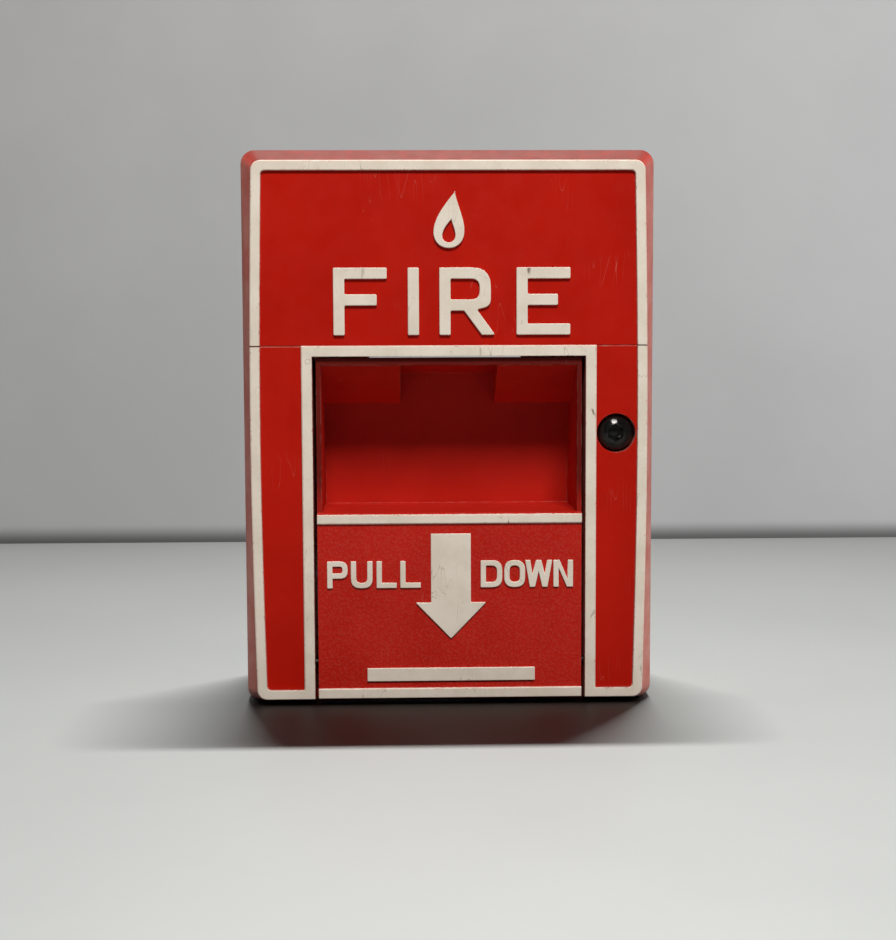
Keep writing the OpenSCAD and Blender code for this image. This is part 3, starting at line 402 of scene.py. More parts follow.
# %% Foil by depth
def foil_by_depth(tree, place, axes, edge, foil_plane, seam, colour):
    ragged = add(tree, "ShaderNodeMapRange",
                 {"Value": grain(tree, place, 0.6, 3.0, 0.65), "From Min": 0.25, "From Max": 0.75,
                  "To Min": -0.1 * MM, "To Max": 0.1 * MM},
                 interpolation_type="SMOOTHSTEP").outputs["Result"]
    depth = add(tree, "ShaderNodeMath",
                {0: add(tree, "ShaderNodeMath", {0: ragged, 1: foil_plane}, operation="ADD").outputs[0],
                 1: axes["Y"]}, operation="SUBTRACT").outputs[0]
    foil = add(tree, "ShaderNodeMapRange",
               {"Value": depth, "From Min": -0.02 * MM, "From Max": 0.02 * MM},
               interpolation_type="SMOOTHSTEP").outputs["Result"]
    chipped = add(tree, "ShaderNodeMath",
                  {0: edge,
                   1: add(tree, "ShaderNodeMapRange",
                          {"Value": grain(tree, place, 1.4, 3.0, 0.7), "From Min": 0.6,
                           "From Max": 0.64}, interpolation_type="SMOOTHSTEP").outputs["Result"]},
                  operation="MULTIPLY").outputs[0]
    foil = add(tree, "ShaderNodeMath", {0: foil, 1: chipped}, operation="SUBTRACT",
               use_clamp=True).outputs[0]
    skin = foil_colour(tree, place, edge)
    if seam:
        off_seam = add(tree, "ShaderNodeMath",
                       {0: add(tree, "ShaderNodeMath", {0: axes["Z"], 1: SEAM_HEIGHT},
                               operation="SUBTRACT").outputs[0]}, operation="ABSOLUTE").outputs[0]
        line = add(tree, "ShaderNodeMapRange",
                   {"Value": off_seam, "From Min": 0.06 * MM, "From Max": 0.2 * MM, "To Min": 1.0,
                    "To Max": 0.0}, interpolation_type="SMOOTHSTEP").outputs["Result"]
        beyond = add(tree, "ShaderNodeMapRange",
                     {"Value": add(tree, "ShaderNodeMath", {0: axes["X"]},
                                   operation="ABSOLUTE").outputs[0], "From Min": FRAME_HALF,
                      "From Max": FRAME_HALF + 0.2 * MM},
                     interpolation_type="SMOOTHSTEP").outputs["Result"]
        line = add(tree, "ShaderNodeMath", {0: line, 1: beyond}, operation="MULTIPLY").outputs[0]
        broken = add(tree, "ShaderNodeMath",
                     {0: line,
                      1: add(tree, "ShaderNodeMapRange",
                             {"Value": grain(tree, place, 1.8, 2.0), "From Min": 0.3, "From Max": 0.6},
                             interpolation_type="SMOOTHSTEP").outputs["Result"]},
                     operation="MULTIPLY").outputs[0]
        skin = add(tree, "ShaderNodeMix",
                   {0: add(tree, "ShaderNodeMath", {0: broken, 1: 0.75},
                           operation="MULTIPLY").outputs[0], 6: skin, 7: FOIL_CRACK},
                   data_type="RGBA").outputs[2]
        colour = add(tree, "ShaderNodeMix",
                     {0: add(tree, "ShaderNodeMath", {0: broken, 1: 0.3},
                             operation="MULTIPLY").outputs[0], 6: colour, 7: BLOOM_AND_SHEEN},
                     data_type="RGBA").outputs[2]
    colour = add(tree, "ShaderNodeMix", {0: foil, 6: colour, 7: skin}, data_type="RGBA").outputs[2]
    return colour, foil


print("line across the face at %.1f mm" % (SEAM_HEIGHT / MM))

# %% [markdown]
# The red plastic is then all of these steps, one after the other, over a base colour that
# drifts slightly. Roughness and bump come last: satin with a fine orange peel, and the pebble
# where there is a grip.

# %% Moulded red
def moulded_red(name, deep, light, foil_plane, pebble_plane=None, seam=False):
    material, tree, shader, place = start(name)
    axes = add(tree, "ShaderNodeSeparateXYZ", {0: place}).outputs
    facing = add(tree, "ShaderNodeSeparateXYZ", {0: place.node.outputs["Normal"]}).outputs
    soft, edge = worn_edges(tree, 0.35)
    tone = add(tree, "ShaderNodeMapRange",
               {"Value": grain(tree, place, 22.0, 4.0, 0.6), "From Min": 0.3, "From Max": 0.7},
               interpolation_type="SMOOTHSTEP").outputs["Result"]
    colour = add(tree, "ShaderNodeMix", {0: tone, 6: deep, 7: light}, data_type="RGBA").outputs[2]
    peel = grain(tree, place, 1.3, 2.0)
    if pebble_plane is not None:
        colour, pebble = pebbled_grip(tree, place, axes, pebble_plane, colour)
    colour = marked_by_use(tree, place, edge, colour)
    outside = 0.0 if pebble_plane is not None else 1.0
    colour, bloom_sheen_mask = bloom_sheen_dust(tree, place, axes, facing, outside, colour)
    colour, foil = foil_by_depth(tree, place, axes, edge, foil_plane, seam, colour)
    tree.links.new(colour, shader.inputs["Base Color"])

    satin = add(tree, "ShaderNodeMapRange",
                {"Value": grain(tree, place, 5.0, 4.0), "From Min": 0.3, "From Max": 0.7, "To Min": 0.4,
                 "To Max": 0.52}, interpolation_type="SMOOTHSTEP").outputs["Result"]
    rough = add(tree, "ShaderNodeMath",
                {0: satin,
                 1: add(tree, "ShaderNodeMath", {0: bloom_sheen_mask, 1: 0.12}, operation="MULTIPLY").outputs[0]},
                operation="ADD").outputs[0]
    tree.links.new(rough, shader.inputs["Roughness"])
    height = add(tree, "ShaderNodeBump", {"Height": peel, "Distance": 0.012 * MM, "Normal": soft})
    shape = height.outputs[0]
    if pebble_plane is not None:
        off_foil = add(tree, "ShaderNodeMath",
                       {0: pebble,
                        1: add(tree, "ShaderNodeMath", {0: 1.0, 1: foil},
                               operation="SUBTRACT").outputs[0]}, operation="MULTIPLY").outputs[0]
        grip = add(tree, "ShaderNodeBump",
                   {"Height": off_foil, "Distance": 0.07 * MM, "Normal": shape}, invert=True)
        shape = grip.outputs[0]
    tree.links.new(shape, shader.inputs["Normal"])
    shader.inputs["IOR"].default_value = 1.55
    shader.inputs["Specular IOR Level"].default_value = 0.10
    return material


red_cover = moulded_red("polycarbonate_red_satin", RED_DEEP, RED_LIGHT,
                        front_y + FOIL_DEPTH, seam=True)
red_lever = moulded_red("polycarbonate_red_pebbled", LEVER_DEEP, LEVER_LIGHT,
                        front_y + FOIL_DEPTH, pebble_plane=lever_face_y + 0.2 * MM)
print("made", red_cover.name, "and", red_lever.name)

# %% [markdown]
# ## Metals
# The plate, strap, pins and screws are steel with a thin zinc plating, which looks pale blue
# grey, with cloudy crystals a few millimetres across and a faint rolling grain. Springs are
# bright drawn wire, the terminals are brass that has tanned a little, the earth screw is zinc
# dyed green, and the lever's pin is blackened and oiled. All are metals, so the colour is that
# of the reflection, the IOR stays at its default, and the difference is in tint, roughness and
# grain.

# %% Bare and plated metals
def metal(name, colour, shade, roughness, cloud_mm=4.0, line_mm=0.25):
    material, tree, shader, place = start(name)
    cloud = add(tree, "ShaderNodeMapRange",
                {"Value": grain(tree, place, cloud_mm, 4.0, 0.6), "From Min": 0.3, "From Max": 0.7},
                interpolation_type="SMOOTHSTEP").outputs["Result"]
    tint = add(tree, "ShaderNodeMix", {0: cloud, 6: linear(colour), 7: linear(shade)},
               data_type="RGBA").outputs[2]
    soft, edge = worn_edges(tree, 0.15)
    tint = add(tree, "ShaderNodeMix",
               {0: add(tree, "ShaderNodeMath", {0: edge, 1: 0.4}, operation="MULTIPLY").outputs[0],
                6: tint, 7: linear("#F2F2F0")}, data_type="RGBA").outputs[2]
    tree.links.new(tint, shader.inputs["Base Color"])
    shader.inputs["Metallic"].default_value = 1.0
    lines = grain(tree, place, line_mm, 2.0, 0.5, (0.05, 1, 1))
    rough = add(tree, "ShaderNodeMapRange",
                {"Value": add(tree, "ShaderNodeMath",
                              {0: add(tree, "ShaderNodeMath", {0: cloud, 1: lines},
                                      operation="ADD").outputs[0], 1: 0.5},
                              operation="MULTIPLY").outputs[0], "From Min": 0.2, "From Max": 0.8,
                 "To Min": roughness - 0.08, "To Max": roughness + 0.12},
                interpolation_type="SMOOTHSTEP").outputs["Result"]
    tree.links.new(rough, shader.inputs["Roughness"])
    bump = add(tree, "ShaderNodeBump", {"Height": lines, "Distance": 0.006 * MM, "Normal": soft})
    tree.links.new(bump.outputs[0], shader.inputs["Normal"])
    return material


zinc_sheet = metal("zinc_plated_sheet", "#C3C7CB", "#A2A8AD", 0.34, 6.0)
zinc_steel = metal("zinc_plated_screw_steel", "#C9CCCF", "#A9ADB1", 0.28, 1.5)
spring_steel = metal("bright_spring_steel", "#B4B6B8", "#8E9194", 0.22, 2.0)
brass = metal("tanned_brass", "#D2AE62", "#A98445", 0.30, 2.0)
green_zinc = metal("green_dyed_zinc", "#2F8A4E", "#1D5C35", 0.32, 1.5)
oiled_steel = metal("blackened_pin_steel", "#3A3836", "#242220", 0.42, 1.5)
print("metals", zinc_sheet.name, zinc_steel.name, spring_steel.name, brass.name,
      green_zinc.name, oiled_steel.name)

# %% [markdown]
# ## The black cover screw
# It is a hardened socket screw, blackened in a hot salt bath and left with a film of oil. The
# oxide is so thin that the steel still gives a metallic glint, but dark. Keys have rubbed the
# rim of the socket bright. Its head is slightly domed. The engineering model has it flat, so
# the dome is only in how the light falls on it, worked out from the distance to the screw's
# axis. The film of oil is a thin glossy coat.

# %% Black oxide
DOME_MM = 1.8


def black_oxide():
    material, tree, shader, place = start("black_oxide_steel")
    soft, edge = worn_edges(tree, 0.18)
    patch = add(tree, "ShaderNodeMapRange",
                {"Value": grain(tree, place, 0.9, 4.0, 0.65), "From Min": 0.4, "From Max": 0.75},
                interpolation_type="SMOOTHSTEP").outputs["Result"]
    colour = add(tree, "ShaderNodeMix", {0: patch, 6: linear("#0B0908"), 7: linear("#171312")},
                 data_type="RGBA").outputs[2]
    rub = add(tree, "ShaderNodeMath",
              {0: edge,
               1: add(tree, "ShaderNodeMapRange",
                      {"Value": grain(tree, place, 0.6, 2.0), "From Min": 0.4, "From Max": 0.7,
                       "To Min": 0.1, "To Max": 0.6},
                      interpolation_type="SMOOTHSTEP").outputs["Result"]},
              operation="MULTIPLY").outputs[0]
    colour = add(tree, "ShaderNodeMix", {0: rub, 6: colour, 7: linear("#6E6862")},
                 data_type="RGBA").outputs[2]
    tree.links.new(colour, shader.inputs["Base Color"])
    shader.inputs["Metallic"].default_value = 0.35
    tree.links.new(add(tree, "ShaderNodeMapRange",
                       {"Value": patch, "From Min": 0.0, "From Max": 1.0, "To Min": 0.12,
                        "To Max": 0.22}, interpolation_type="SMOOTHSTEP").outputs["Result"],
                   shader.inputs["Roughness"])
    low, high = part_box("cover_screw")
    axis = ((low.x + high.x) / 2, 0, (low.z + high.z) / 2)
    flat_place = add(tree, "ShaderNodeVectorMath", {0: place, 1: (1, 0, 1)}, operation="MULTIPLY")
    from_axis = add(tree, "ShaderNodeVectorMath", {0: flat_place.outputs[0], 1: axis},
                    operation="DISTANCE").outputs["Value"]
    out_to_rim = add(tree, "ShaderNodeMath", {0: from_axis, 1: (high.x - low.x) / 2},
                     operation="DIVIDE").outputs[0]
    crown = add(tree, "ShaderNodeMath",
                {0: 1.0,
                 1: add(tree, "ShaderNodeMath", {0: out_to_rim, 1: out_to_rim},
                        operation="MULTIPLY").outputs[0]}, operation="SUBTRACT").outputs[0]
    dome = add(tree, "ShaderNodeBump",
               {"Height": crown, "Distance": DOME_MM * MM, "Normal": soft})
    bump = add(tree, "ShaderNodeBump",
               {"Height": grain(tree, place, 0.35, 3.0), "Distance": 0.02 * MM,
                "Normal": dome.outputs[0]})
    tree.links.new(bump.outputs[0], shader.inputs["Normal"])
    shader.inputs["Coat Weight"].default_value = 1.0
    shader.inputs["Coat Roughness"].default_value = 0.05
    return material


black_screw = black_oxide()
print("made", black_screw.name)

# %% [markdown]
# ## Plastics and rubber inside
# The switch case, its cap, the cam and the terminal block are black phenolic, a hard moulded
# resin with a fine flour filler that shows as a faint grey mottle. The plunger is red acetal.
# The bumpers are nitrile rubber, matt and a little dusty, and the leads have glossy PVC
# insulation with a slight ripple from the extruder. They differ in colour, grain and gloss.

# %% Inner plastics
def plain_moulding(name, colour, fleck, roughness, grain_mm, depth_mm, ior):
    material, tree, shader, place = start(name)
    mottle = add(tree, "ShaderNodeMapRange",
                 {"Value": grain(tree, place, grain_mm, 4.0, 0.65), "From Min": 0.45, "From Max": 0.8,
                  "To Min": 0.0, "To Max": 0.5}, interpolation_type="SMOOTHSTEP").outputs["Result"]
    shade = add(tree, "ShaderNodeMix", {0: mottle, 6: linear(colour), 7: linear(fleck)},
                data_type="RGBA").outputs[2]
    soft, edge = worn_edges(tree, 0.2)
    shade = add(tree, "ShaderNodeMix",
                {0: add(tree, "ShaderNodeMath", {0: edge, 1: 0.3}, operation="MULTIPLY").outputs[0],
                 6: shade, 7: linear(fleck)}, data_type="RGBA").outputs[2]
    facing = add(tree, "ShaderNodeSeparateXYZ", {0: place.node.outputs["Normal"]}).outputs
    dust = add(tree, "ShaderNodeMath",
               {0: add(tree, "ShaderNodeMapRange",
                       {"Value": facing["Z"], "From Min": 0.6, "From Max": 1.0, "To Min": 0.0,
                        "To Max": 0.22}, interpolation_type="SMOOTHSTEP").outputs["Result"],
                1: add(tree, "ShaderNodeMapRange",
                       {"Value": grain(tree, place, 2.0, 4.0), "From Min": 0.3, "From Max": 0.7},
                       interpolation_type="SMOOTHSTEP").outputs["Result"]},
               operation="MULTIPLY").outputs[0]
    shade = add(tree, "ShaderNodeMix", {0: dust, 6: shade, 7: linear("#9A8F86")},
                data_type="RGBA").outputs[2]
    tree.links.new(shade, shader.inputs["Base Color"])
    rough = add(tree, "ShaderNodeMapRange",
                {"Value": grain(tree, place, 3.0, 3.0), "From Min": 0.3, "From Max": 0.7,
                 "To Min": roughness - 0.06, "To Max": roughness + 0.08},
                interpolation_type="SMOOTHSTEP").outputs["Result"]
    tree.links.new(rough, shader.inputs["Roughness"])
    bump = add(tree, "ShaderNodeBump", {"Height": grain(tree, place, grain_mm, 3.0),
                                        "Distance": depth_mm * MM, "Normal": soft})
    tree.links.new(bump.outputs[0], shader.inputs["Normal"])
    shader.inputs["IOR"].default_value = ior
    return material


phenolic = plain_moulding("black_phenolic", "#1B1A19", "#3A3734", 0.42, 0.5, 0.02, 1.60)
acetal = plain_moulding("red_acetal", "#A3251B", "#C04A3C", 0.38, 0.6, 0.01, 1.48)
nitrile = plain_moulding("nitrile_rubber", "#1E1D1C", "#34322F", 0.72, 0.4, 0.03, 1.52)
pvc_black = plain_moulding("pvc_lead_black", "#17171A", "#2C2C31", 0.33, 1.2, 0.03, 1.54)
pvc_red = plain_moulding("pvc_lead_red", "#A01D18", "#BC3D34", 0.33, 1.2, 0.03, 1.54)
print("plastics", phenolic.name, acetal.name, nitrile.name, pvc_black.name, pvc_red.name)

# %% [markdown]
# Every part already names the finish it takes. A table turns those names into the materials
# above, and one loop dresses all the parts, so that none is forgotten.

# %% Dress the parts
finish_of_slot = {
    "red_cover_plastic": red_cover, "red_lever_plastic": red_lever, "white_print": white_print,
    "steel": zinc_steel, "zinc_plated_steel": zinc_sheet, "spring_steel": spring_steel,
    "black_screw": black_screw, "green_screw": green_zinc, "brass": brass, "rubber": nitrile,
    "black_plastic": phenolic, "plunger_plastic": acetal, "lead_black": pvc_black,
    "lead_red": pvc_red,
}
for part in frame["record"]["subparts"]:
    mesh = frame["nodes"][part["node"]].data
    mesh.materials.clear()
    mesh.materials.append(finish_of_slot[part["material_slot"]])
frame["nodes"]["lever_pin"].data.materials[0] = oiled_steel

# %% [markdown]
# ## Raised lettering
# The words and the arrow are moulded with the cover and the lever, then stamped white. Built-in
# text would bring a typeface, so each mark is drawn here as the outline a mould maker would
# cut: corner points with a radius at each, because a milling cutter leaves no sharp corner.
# Flat curves fill such outlines, holes included, and give them thickness and a rounded top
# edge in one step. They are then turned into plain meshes.

# %% Outlines with rounded corners
ARC_STEPS = 5


def rounded_loop(corners):
    points = []
    count = len(corners)
    for i, (x, z, radius) in enumerate(corners):
        here = Vector((x, z))
        before = Vector(corners[i - 1][:2])
        after = Vector(corners[(i + 1) % count][:2])
        back, ahead = (before - here).normalized(), (after - here).normalized()
        half = math.acos(max(-1.0, min(1.0, back.dot(ahead)))) / 2
        longest = 0.49 * min((before - here).length, (after - here).length)
        reach = min(radius / math.tan(half), longest)
        first, last = here + back * reach, here + ahead * reach
        for step in range(ARC_STEPS + 1):
            t = step / ARC_STEPS
            points.append(first * (1 - t) ** 2 + here * 2 * t * (1 - t) + last * t * t)
    return points


def crossing(a, b, c, d):
    """Height at which line a-b meets line c-d."""
    run_a, run_c = b - a, d - c
    t = ((c.x - a.x) * run_c.y - (c.y - a.y) * run_c.x) / (run_a.x * run_c.y - run_a.y * run_c.x)
    return (a + run_a * t).y


square = [(0, 0, 1), (9, 0, 1), (9, 9, 1), (0, 9, 1)]
print("a square with round corners has", len(rounded_loop(square)), "points")

# %% [markdown]
# The letters are plain block capitals of even stroke, as on any such station. Each is worked
# out from its width, its height and the width of its stroke, so the large and the small words
# share one set of rules. The first list is the outer outline, and a second one is the hole.

# %% Block capitals
def capital(letter, w, h, s):
    r = 0.14 * s
    low = 0.44 * h
    if letter == "I":
        return [[(0, 0, r), (s, 0, r), (s, h, r), (0, h, r)]]
    if letter == "L":
        return [[(0, 0, r), (w, 0, r), (w, s, r), (s, s, r), (s, h, r), (0, h, r)]]
    if letter == "F":
        return [[(0, 0, r), (s, 0, r), (s, low, r), (0.81 * w, low, r), (0.81 * w, low + s, r),
                 (s, low + s, r), (s, h - s, r), (w, h - s, r), (w, h, r), (0, h, r)]]
    if letter == "E":
        return [[(0, 0, r), (w, 0, r), (w, s, r), (s, s, r), (s, low, r), (0.77 * w, low, r),
                 (0.77 * w, low + s, r), (s, low + s, r), (s, h - s, r), (w, h - s, r),
                 (w, h, r), (0, h, r)]]
    if letter in "PR":
        base = 0.36 * h
        bowl = 0.46 * (h - base)
        hole = max(bowl - s, 0.3 * s)
        inner = [(s, base + s, r), (w - s, base + s, hole), (w - s, h - s, hole), (s, h - s, r)]
        if letter == "P":
            return [[(0, 0, r), (s, 0, r), (s, base, r), (w, base, bowl), (w, h, bowl),
                     (0, h, r)], inner]
        side = 0.92 * w
        inner = [(x if x < w / 2 else x - w + side, z, radius) for x, z, radius in inner]
        return [[(0, 0, r), (s, 0, r), (s, base, r), (0.44 * w, base, r), (w - 1.2 * s, 0, r),
                 (w, 0, r), (0.67 * w, base + 0.1 * s, r), (side, base + 0.4 * s, 0.7 * bowl),
                 (side, h, bowl), (0, h, r)], inner]
    if letter == "U":
        turn = 0.44 * w
        return [[(0, h, r), (0, 0, turn), (w, 0, turn), (w, h, r), (w - s, h, r),
                 (w - s, s, turn - 0.8 * s), (s, s, turn - 0.8 * s), (s, h, r)]]
    if letter in "DO":
        turn = 0.46 * w
        left = turn if letter == "O" else r
        hole_left = turn - 0.8 * s if letter == "O" else r
        return [[(0, 0, left), (w, 0, turn), (w, h, turn), (0, h, left)],
                [(s, s, hole_left), (w - s, s, turn - 0.8 * s), (w - s, h - s, turn - 0.8 * s),
                 (s, h - s, hole_left)]]
    if letter == "N":
        step = 1.5 * s
        return [[(0, 0, r), (s, 0, r), (s, h - step, 0), (w - 1.15 * s, 0, r), (w, 0, r), (w, h, r),
                 (w - s, h, r), (w - s, step, 0), (1.15 * s, h, r), (0, h, r)]]
    t = 0.98 * s
    foot, peak = 0.27 * w, w / 2
    foot_right, foot_left = Vector((foot + t / 2, 0)), Vector((foot - t / 2, 0))
    peak_right, peak_left = Vector((peak + t / 2, h)), Vector((peak - t / 2, h))
    notch = crossing(Vector((t, h)), foot_right, peak_left, foot_left)
    rise = crossing(foot_right, peak_right, Vector((w - foot - t / 2, 0)), peak_left)
    return [[(0, h, r), (t, h, r), (foot, notch, 0), (peak - t / 2, h, r), (peak + t / 2, h, r),
             (w - foot, notch, 0), (w - t, h, r), (w, h, r), (w - foot + t / 2, 0, r),
             (w - foot - t / 2, 0, r), (peak, rise, 0), (foot + t / 2, 0, r), (foot - t / 2, 0, r)]]


print("outlines in an R:", len(capital("R", 14, 16.8, 2.8)))

# %% [markdown]
# A mark is laid on its face: the outlines are filled, thickened, rounded by a tenth of a
# millimetre or two along the top edge, then stood upright, with its back sunk a little into
# the face, as one moulding would be. The sides of the letters are stamped too, because foil
# stretches down over a low edge.

# %% Turn outlines into a raised mark
SUNK = 0.25 * MM


def raised_mark(name, loops, face_y, top_y, edge_mm, body):
    curve = bpy.data.curves.new(name, "CURVE")
    curve.dimensions = "2D"
    curve.fill_mode = "BOTH"
    thickness = face_y + SUNK - top_y
    curve.bevel_depth = edge_mm * MM
    curve.bevel_resolution = 2
    curve.offset = -edge_mm * MM
    curve.extrude = thickness / 2 - edge_mm * MM
    for loop in loops:
        spline = curve.splines.new("POLY")
        spline.points.add(len(loop) - 1)
        for point, (x, z) in zip(spline.points, loop):
            point.co = (x * MM, z * MM, 0, 1)
        spline.use_cyclic_u = True
    drawn = bpy.data.objects.new(name + "_outline", curve)
    bpy.context.scene.collection.objects.link(drawn)
    worked_out = drawn.evaluated_get(bpy.context.evaluated_depsgraph_get())
    mesh = bpy.data.meshes.new_from_object(worked_out)
    bpy.data.objects.remove(drawn)
    mesh.transform(Matrix.Rotation(math.radians(90), 4, "X"))
    nearest = min(v.co.y for v in mesh.vertices)
    mesh.transform(Matrix.Translation((middle_x, top_y - nearest, bottom_z)))
    tidy = bmesh.new()
    tidy.from_mesh(mesh)
    bmesh.ops.remove_doubles(tidy, verts=tidy.verts, dist=0.002 * MM)
    bmesh.ops.recalc_face_normals(tidy, faces=tidy.faces)
    tidy.to_mesh(mesh)
    tidy.free()
    mesh.name = name
    mesh.materials.clear()
    mesh.materials.append(white_print)
    piece = bpy.data.objects.new(name, mesh)
    bpy.context.scene.collection.objects.link(piece)
    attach(piece, body)
    print(name, len(mesh.polygons), "faces,", "%.2f mm thick" % (thickness / MM))


def word_loops(letters, foot_z, height, stroke):
    """Outlines of a word, in mm from the cover's middle and its bottom edge."""
    loops = []
    for letter, left, right in letters:
        for loop in capital(letter, right - left, height, stroke):
            shifted = [(left + x, foot_z + z, radius) for x, z, radius in loop]
            loops.append(rounded_loop(shifted))
    return loops


print("the back of each mark sits %.2f mm inside its face" % (SUNK / MM))

# %% [markdown]
# The large word crosses the upper face, and the two small ones tell the hand what to do, one on
# each side of the arrow. Such words are the plain legend of every station of this kind. The
# numbers are each letter's left and right edge. A row of lettering is given by the height of
# its foot, the height of its letters and the width of their stroke.

# %% The words
LARGE_ROW = (93.7, 16.8, 2.8)
SMALL_ROW = (29.8, 6.9, 1.35)
LEVER_MARK_TOP = front_y + 0.12 * MM
raised_mark("word_fire",
            word_loops([("F", -28.9, -15.5), ("I", -10.3, -7.5), ("R", -2.4, 11.6),
                        ("E", 16.9, 30.4)], *LARGE_ROW),
            cover_face_y, front_y, 0.18, "cover")
raised_mark("word_pull",
            word_loops([("P", -31.1, -25.9), ("U", -25.1, -19.6), ("L", -18.6, -13.5),
                        ("L", -12.6, -7.4)], *SMALL_ROW),
            lever_face_y, LEVER_MARK_TOP, 0.14, "lever")
raised_mark("word_down",
            word_loops([("D", 7.8, 13.3), ("O", 13.8, 19.1), ("W", 19.1, 26.0),
                        ("N", 26.3, 31.3)], *SMALL_ROW),
            lever_face_y, LEVER_MARK_TOP, 0.14, "lever")

# %% [markdown]
# The arrow is one broad outline and the bar below it another. Above the large word stands a
# sign for fire. A plain drop shape with a leaning tip reads as a flame and belongs to nobody,
# so it is drawn from a formula: a teardrop whose top is pushed aside, with a smaller drop
# left open inside it.

# %% Arrow, bar and flame
ARROW_X = 0.25
arrow = [(ARROW_X + x, z, r) for x, z, r in
         [(-5.06, 43.6, 0.25), (-5.06, 26.0, 0.15), (-9.0, 26.0, 0.2), (0, 16.7, 0.3),
          (9.0, 26.0, 0.2), (5.06, 26.0, 0.15), (5.06, 43.6, 0.25)]]
raised_mark("pull_arrow", [rounded_loop(arrow)], lever_face_y, LEVER_MARK_TOP, 0.16, "lever")
bar = [(-21.1, 5.8, 0.2), (21.6, 5.8, 0.2), (21.6, 9.2, 0.2), (-21.1, 9.2, 0.2)]
raised_mark("lever_bar", [rounded_loop(bar)], lever_face_y, LEVER_MARK_TOP, 0.16, "lever")


def drop(centre_z, half_w, half_h, lean, steps):
    points = []
    for i in range(steps):
        a = 2 * math.pi * i / steps
        z = half_h * math.cos(a)
        x = half_w * math.sin(a) * math.sin(a / 2) ** 1.4
        points.append((x + lean * ((z + half_h) / (2 * half_h)) ** 3, centre_z + z))
    return points


raised_mark("flame_sign", [drop(122.3, 5.4, 7.0, 1.6, 56), drop(119.6, 2.3, 2.9, 0.7, 36)],
            cover_face_y, front_y, 0.16, "cover")

# %% [markdown]
# ## The studio
# The station stands on a plain table in front of a plain wall. Each is one flat sheet with a
# faint mottle. The wall's colour is painted darker at its foot, a painted shadow where a real
# wall meets a table.
# The table's colour is a middle grey, because its own strong lamp makes it look pale.

# %% Table and wall
def plain_surface(name, colour, roughness, corners, foot_mm=0.0):
    mesh = bpy.data.meshes.new(name)
    mesh.from_pydata(corners, [], [range(len(corners))])
    material, tree, shader, place = start(name + "_paint")
    mottle = add(tree, "ShaderNodeMapRange",
                 {"Value": grain(tree, place, 120.0, 5.0, 0.6), "From Min": 0.3, "From Max": 0.7},
                 interpolation_type="SMOOTHSTEP").outputs["Result"]
    darker = tuple(v * 0.93 for v in linear(colour)[:3]) + (1.0,)
    paint = add(tree, "ShaderNodeMix", {0: mottle, 6: linear(colour), 7: darker},
                data_type="RGBA").outputs[2]
    height = add(tree, "ShaderNodeSeparateXYZ", {0: place}).outputs["Z"]
    # Painted shadow: the wall's colour darkens towards its foot, over foot_mm above the table.
    foot = add(tree, "ShaderNodeMapRange",
               {"Value": height, "From Min": bottom_z, "From Max": bottom_z + foot_mm * MM,
                "To Min": 0.8 if foot_mm else 0.0, "To Max": 0.0},
               interpolation_type="SMOOTHSTEP").outputs["Result"]
    tree.links.new(add(tree, "ShaderNodeMix", {0: foot, 6: paint, 7: linear("#1C1B1A")},
                       data_type="RGBA").outputs[2], shader.inputs["Base Color"])
    shader.inputs["Roughness"].default_value = roughness
    mesh.materials.append(material)
    surface = bpy.data.objects.new(name, mesh)
    bpy.context.scene.collection.objects.link(surface)
    return surface


WALL_Y = 0.297
REACH = 4.0
table = plain_surface("table", "#4F4F4E", 0.55,
                      [(-REACH, -REACH, bottom_z), (REACH, -REACH, bottom_z),
                       (REACH, WALL_Y, bottom_z), (-REACH, WALL_Y, bottom_z)])
wall = plain_surface("wall", "#ADAFB2", 0.6,
                     [(-REACH, WALL_Y, bottom_z), (REACH, WALL_Y, bottom_z),
                      (REACH, WALL_Y, bottom_z + REACH), (-REACH, WALL_Y, bottom_z + REACH)],
                     foot_mm=9.0)
print("wall stands %.0f mm behind the front" % ((WALL_Y - front_y) / MM))

# %% [markdown]
# The camera stands where a person would look at the station on a table: a little left of it
# and a little above, from about forty centimetres. It leans by a fifth of a degree, as a
# camera held in the hand does. The lens is the one that fills the frame from there.

# %% Camera
CAMERA_AWAY = 0.4017
CAMERA_HEIGHT = 0.0950
AIM_HEIGHT = 0.0598
LEAN_DEGREES = -0.21
camera_data = bpy.data.cameras.new("camera")
camera_data.sensor_width = 36.0
camera_data.lens = 61.3
camera = bpy.data.objects.new("camera", camera_data)
bpy.context.scene.collection.objects.link(camera)
camera.location = (-0.0116, front_y - CAMERA_AWAY, bottom_z + CAMERA_HEIGHT)
aim = Vector((-0.0004, front_y, bottom_z + AIM_HEIGHT))
sight = (aim - camera.location).to_track_quat("-Z", "Y")
camera.rotation_mode = "QUATERNION"
lean = Matrix.Rotation(math.radians(LEAN_DEGREES), 4, "Z").to_quaternion()
camera.rotation_quaternion = sight @ lean
bpy.context.scene.camera = camera
print("camera %.0f mm from the aim" % ((aim - camera.location).length / MM))

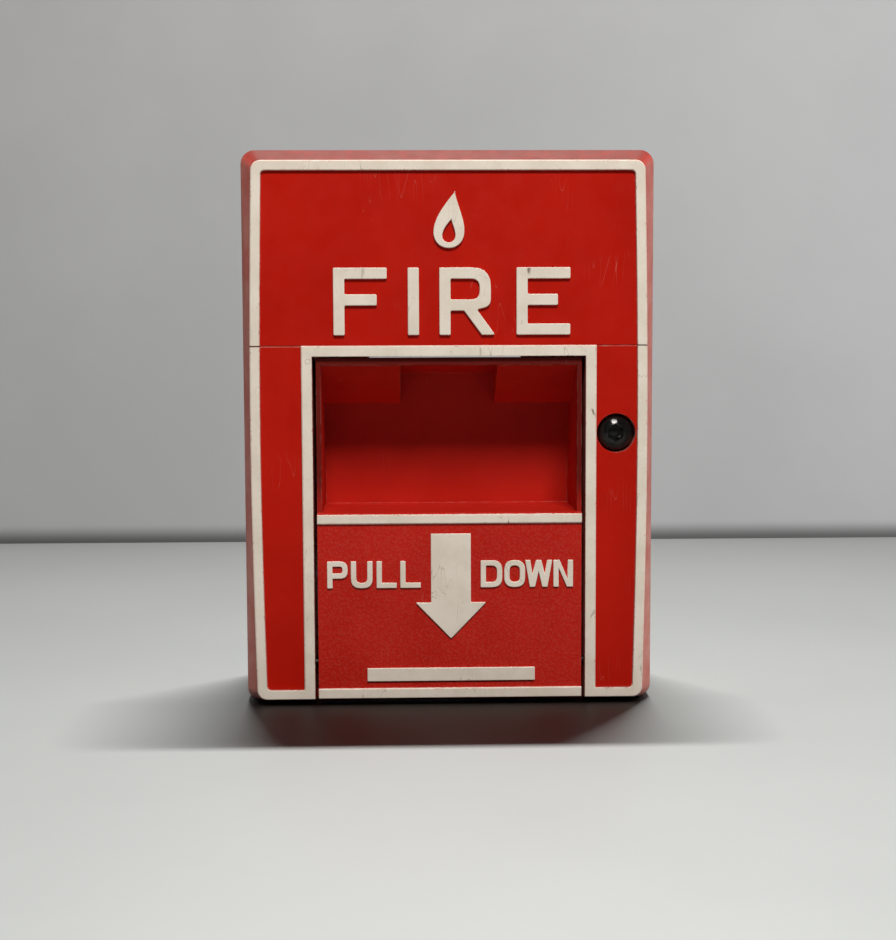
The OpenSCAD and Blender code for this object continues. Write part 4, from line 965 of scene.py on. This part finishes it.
# %% [markdown]
# A studio can light the object and its table apart, and here Blender's light linking does it.
# A narrow lamp behind and above the station lights only the table, so that the station throws
# a short dark shadow forwards. A top lamp, a soft box high in front and a fill from the right
# light everything but the table: they rake over the top edge, reach into the finger pocket and
# lift the right side. One more lamp washes only the wall. A weak pale world fills the rest.
# Areas that emit are softer than points, and their size sets how soft.

# %% Lights
def soft_light(name, place, target, width, depth, power, colour):
    data = bpy.data.lights.new(name, "AREA")
    data.shape = "RECTANGLE"
    data.size, data.size_y = width, depth
    data.energy = power
    data.color = linear(colour)[:3]
    light = bpy.data.objects.new(name, data)
    bpy.context.scene.collection.objects.link(light)
    light.location = place
    light.rotation_mode = "QUATERNION"
    light.rotation_quaternion = (Vector(target) - Vector(place)).to_track_quat("-Z", "Y")
    return light


station_middle = (cover_low + cover_high) / 2
table_lamp = soft_light("table_lamp", (0.05, 0.25, 1.0), (0.05, -0.5, 0), 0.34, 0.03, 37.0, "#FDFFFC")
table_lamp.data.spread = math.radians(126)
top_lamp = soft_light("top_lamp", (0.0, 0.23, 1.0), station_middle, 0.28, 0.10, 5.0, "#FFFDF8")
front_box = soft_light("front_soft_box", (0.05, -0.60, 0.76), station_middle, 0.30, 0.22, 8.2, "#FFF9F2")
right_fill = soft_light("right_fill", (0.9, -0.1, 0.35), station_middle, 0.4, 0.4, 2.4, "#FFFFFF")


def light_only(lights, name, surface, state):
    chosen = bpy.data.collections.new(name)
    chosen.objects.link(surface)
    chosen.collection_objects[0].light_linking.link_state = state
    for light in lights:
        light.light_linking.receiver_collection = chosen


wall_wash = soft_light("wall_wash", (0.62, -0.08, 0.30), (0.42, WALL_Y, 0.06), 0.4, 0.4, 1.6, "#FFFFFF")
light_only([wall_wash], "lit_by_wall_wash", wall, "INCLUDE")
light_only([table_lamp], "lit_by_table_lamp", table, "INCLUDE")
light_only([top_lamp, front_box, right_fill], "flagged_from_station_lights", table, "EXCLUDE")

world = bpy.data.worlds.new("pale_room")
bpy.context.scene.world = world
world.use_nodes = True
world.node_tree.nodes["Background"].inputs["Color"].default_value = linear("#D8DADD")
world.node_tree.nodes["Background"].inputs["Strength"].default_value = 0.02
bpy.context.scene.view_settings.view_transform = "Standard"
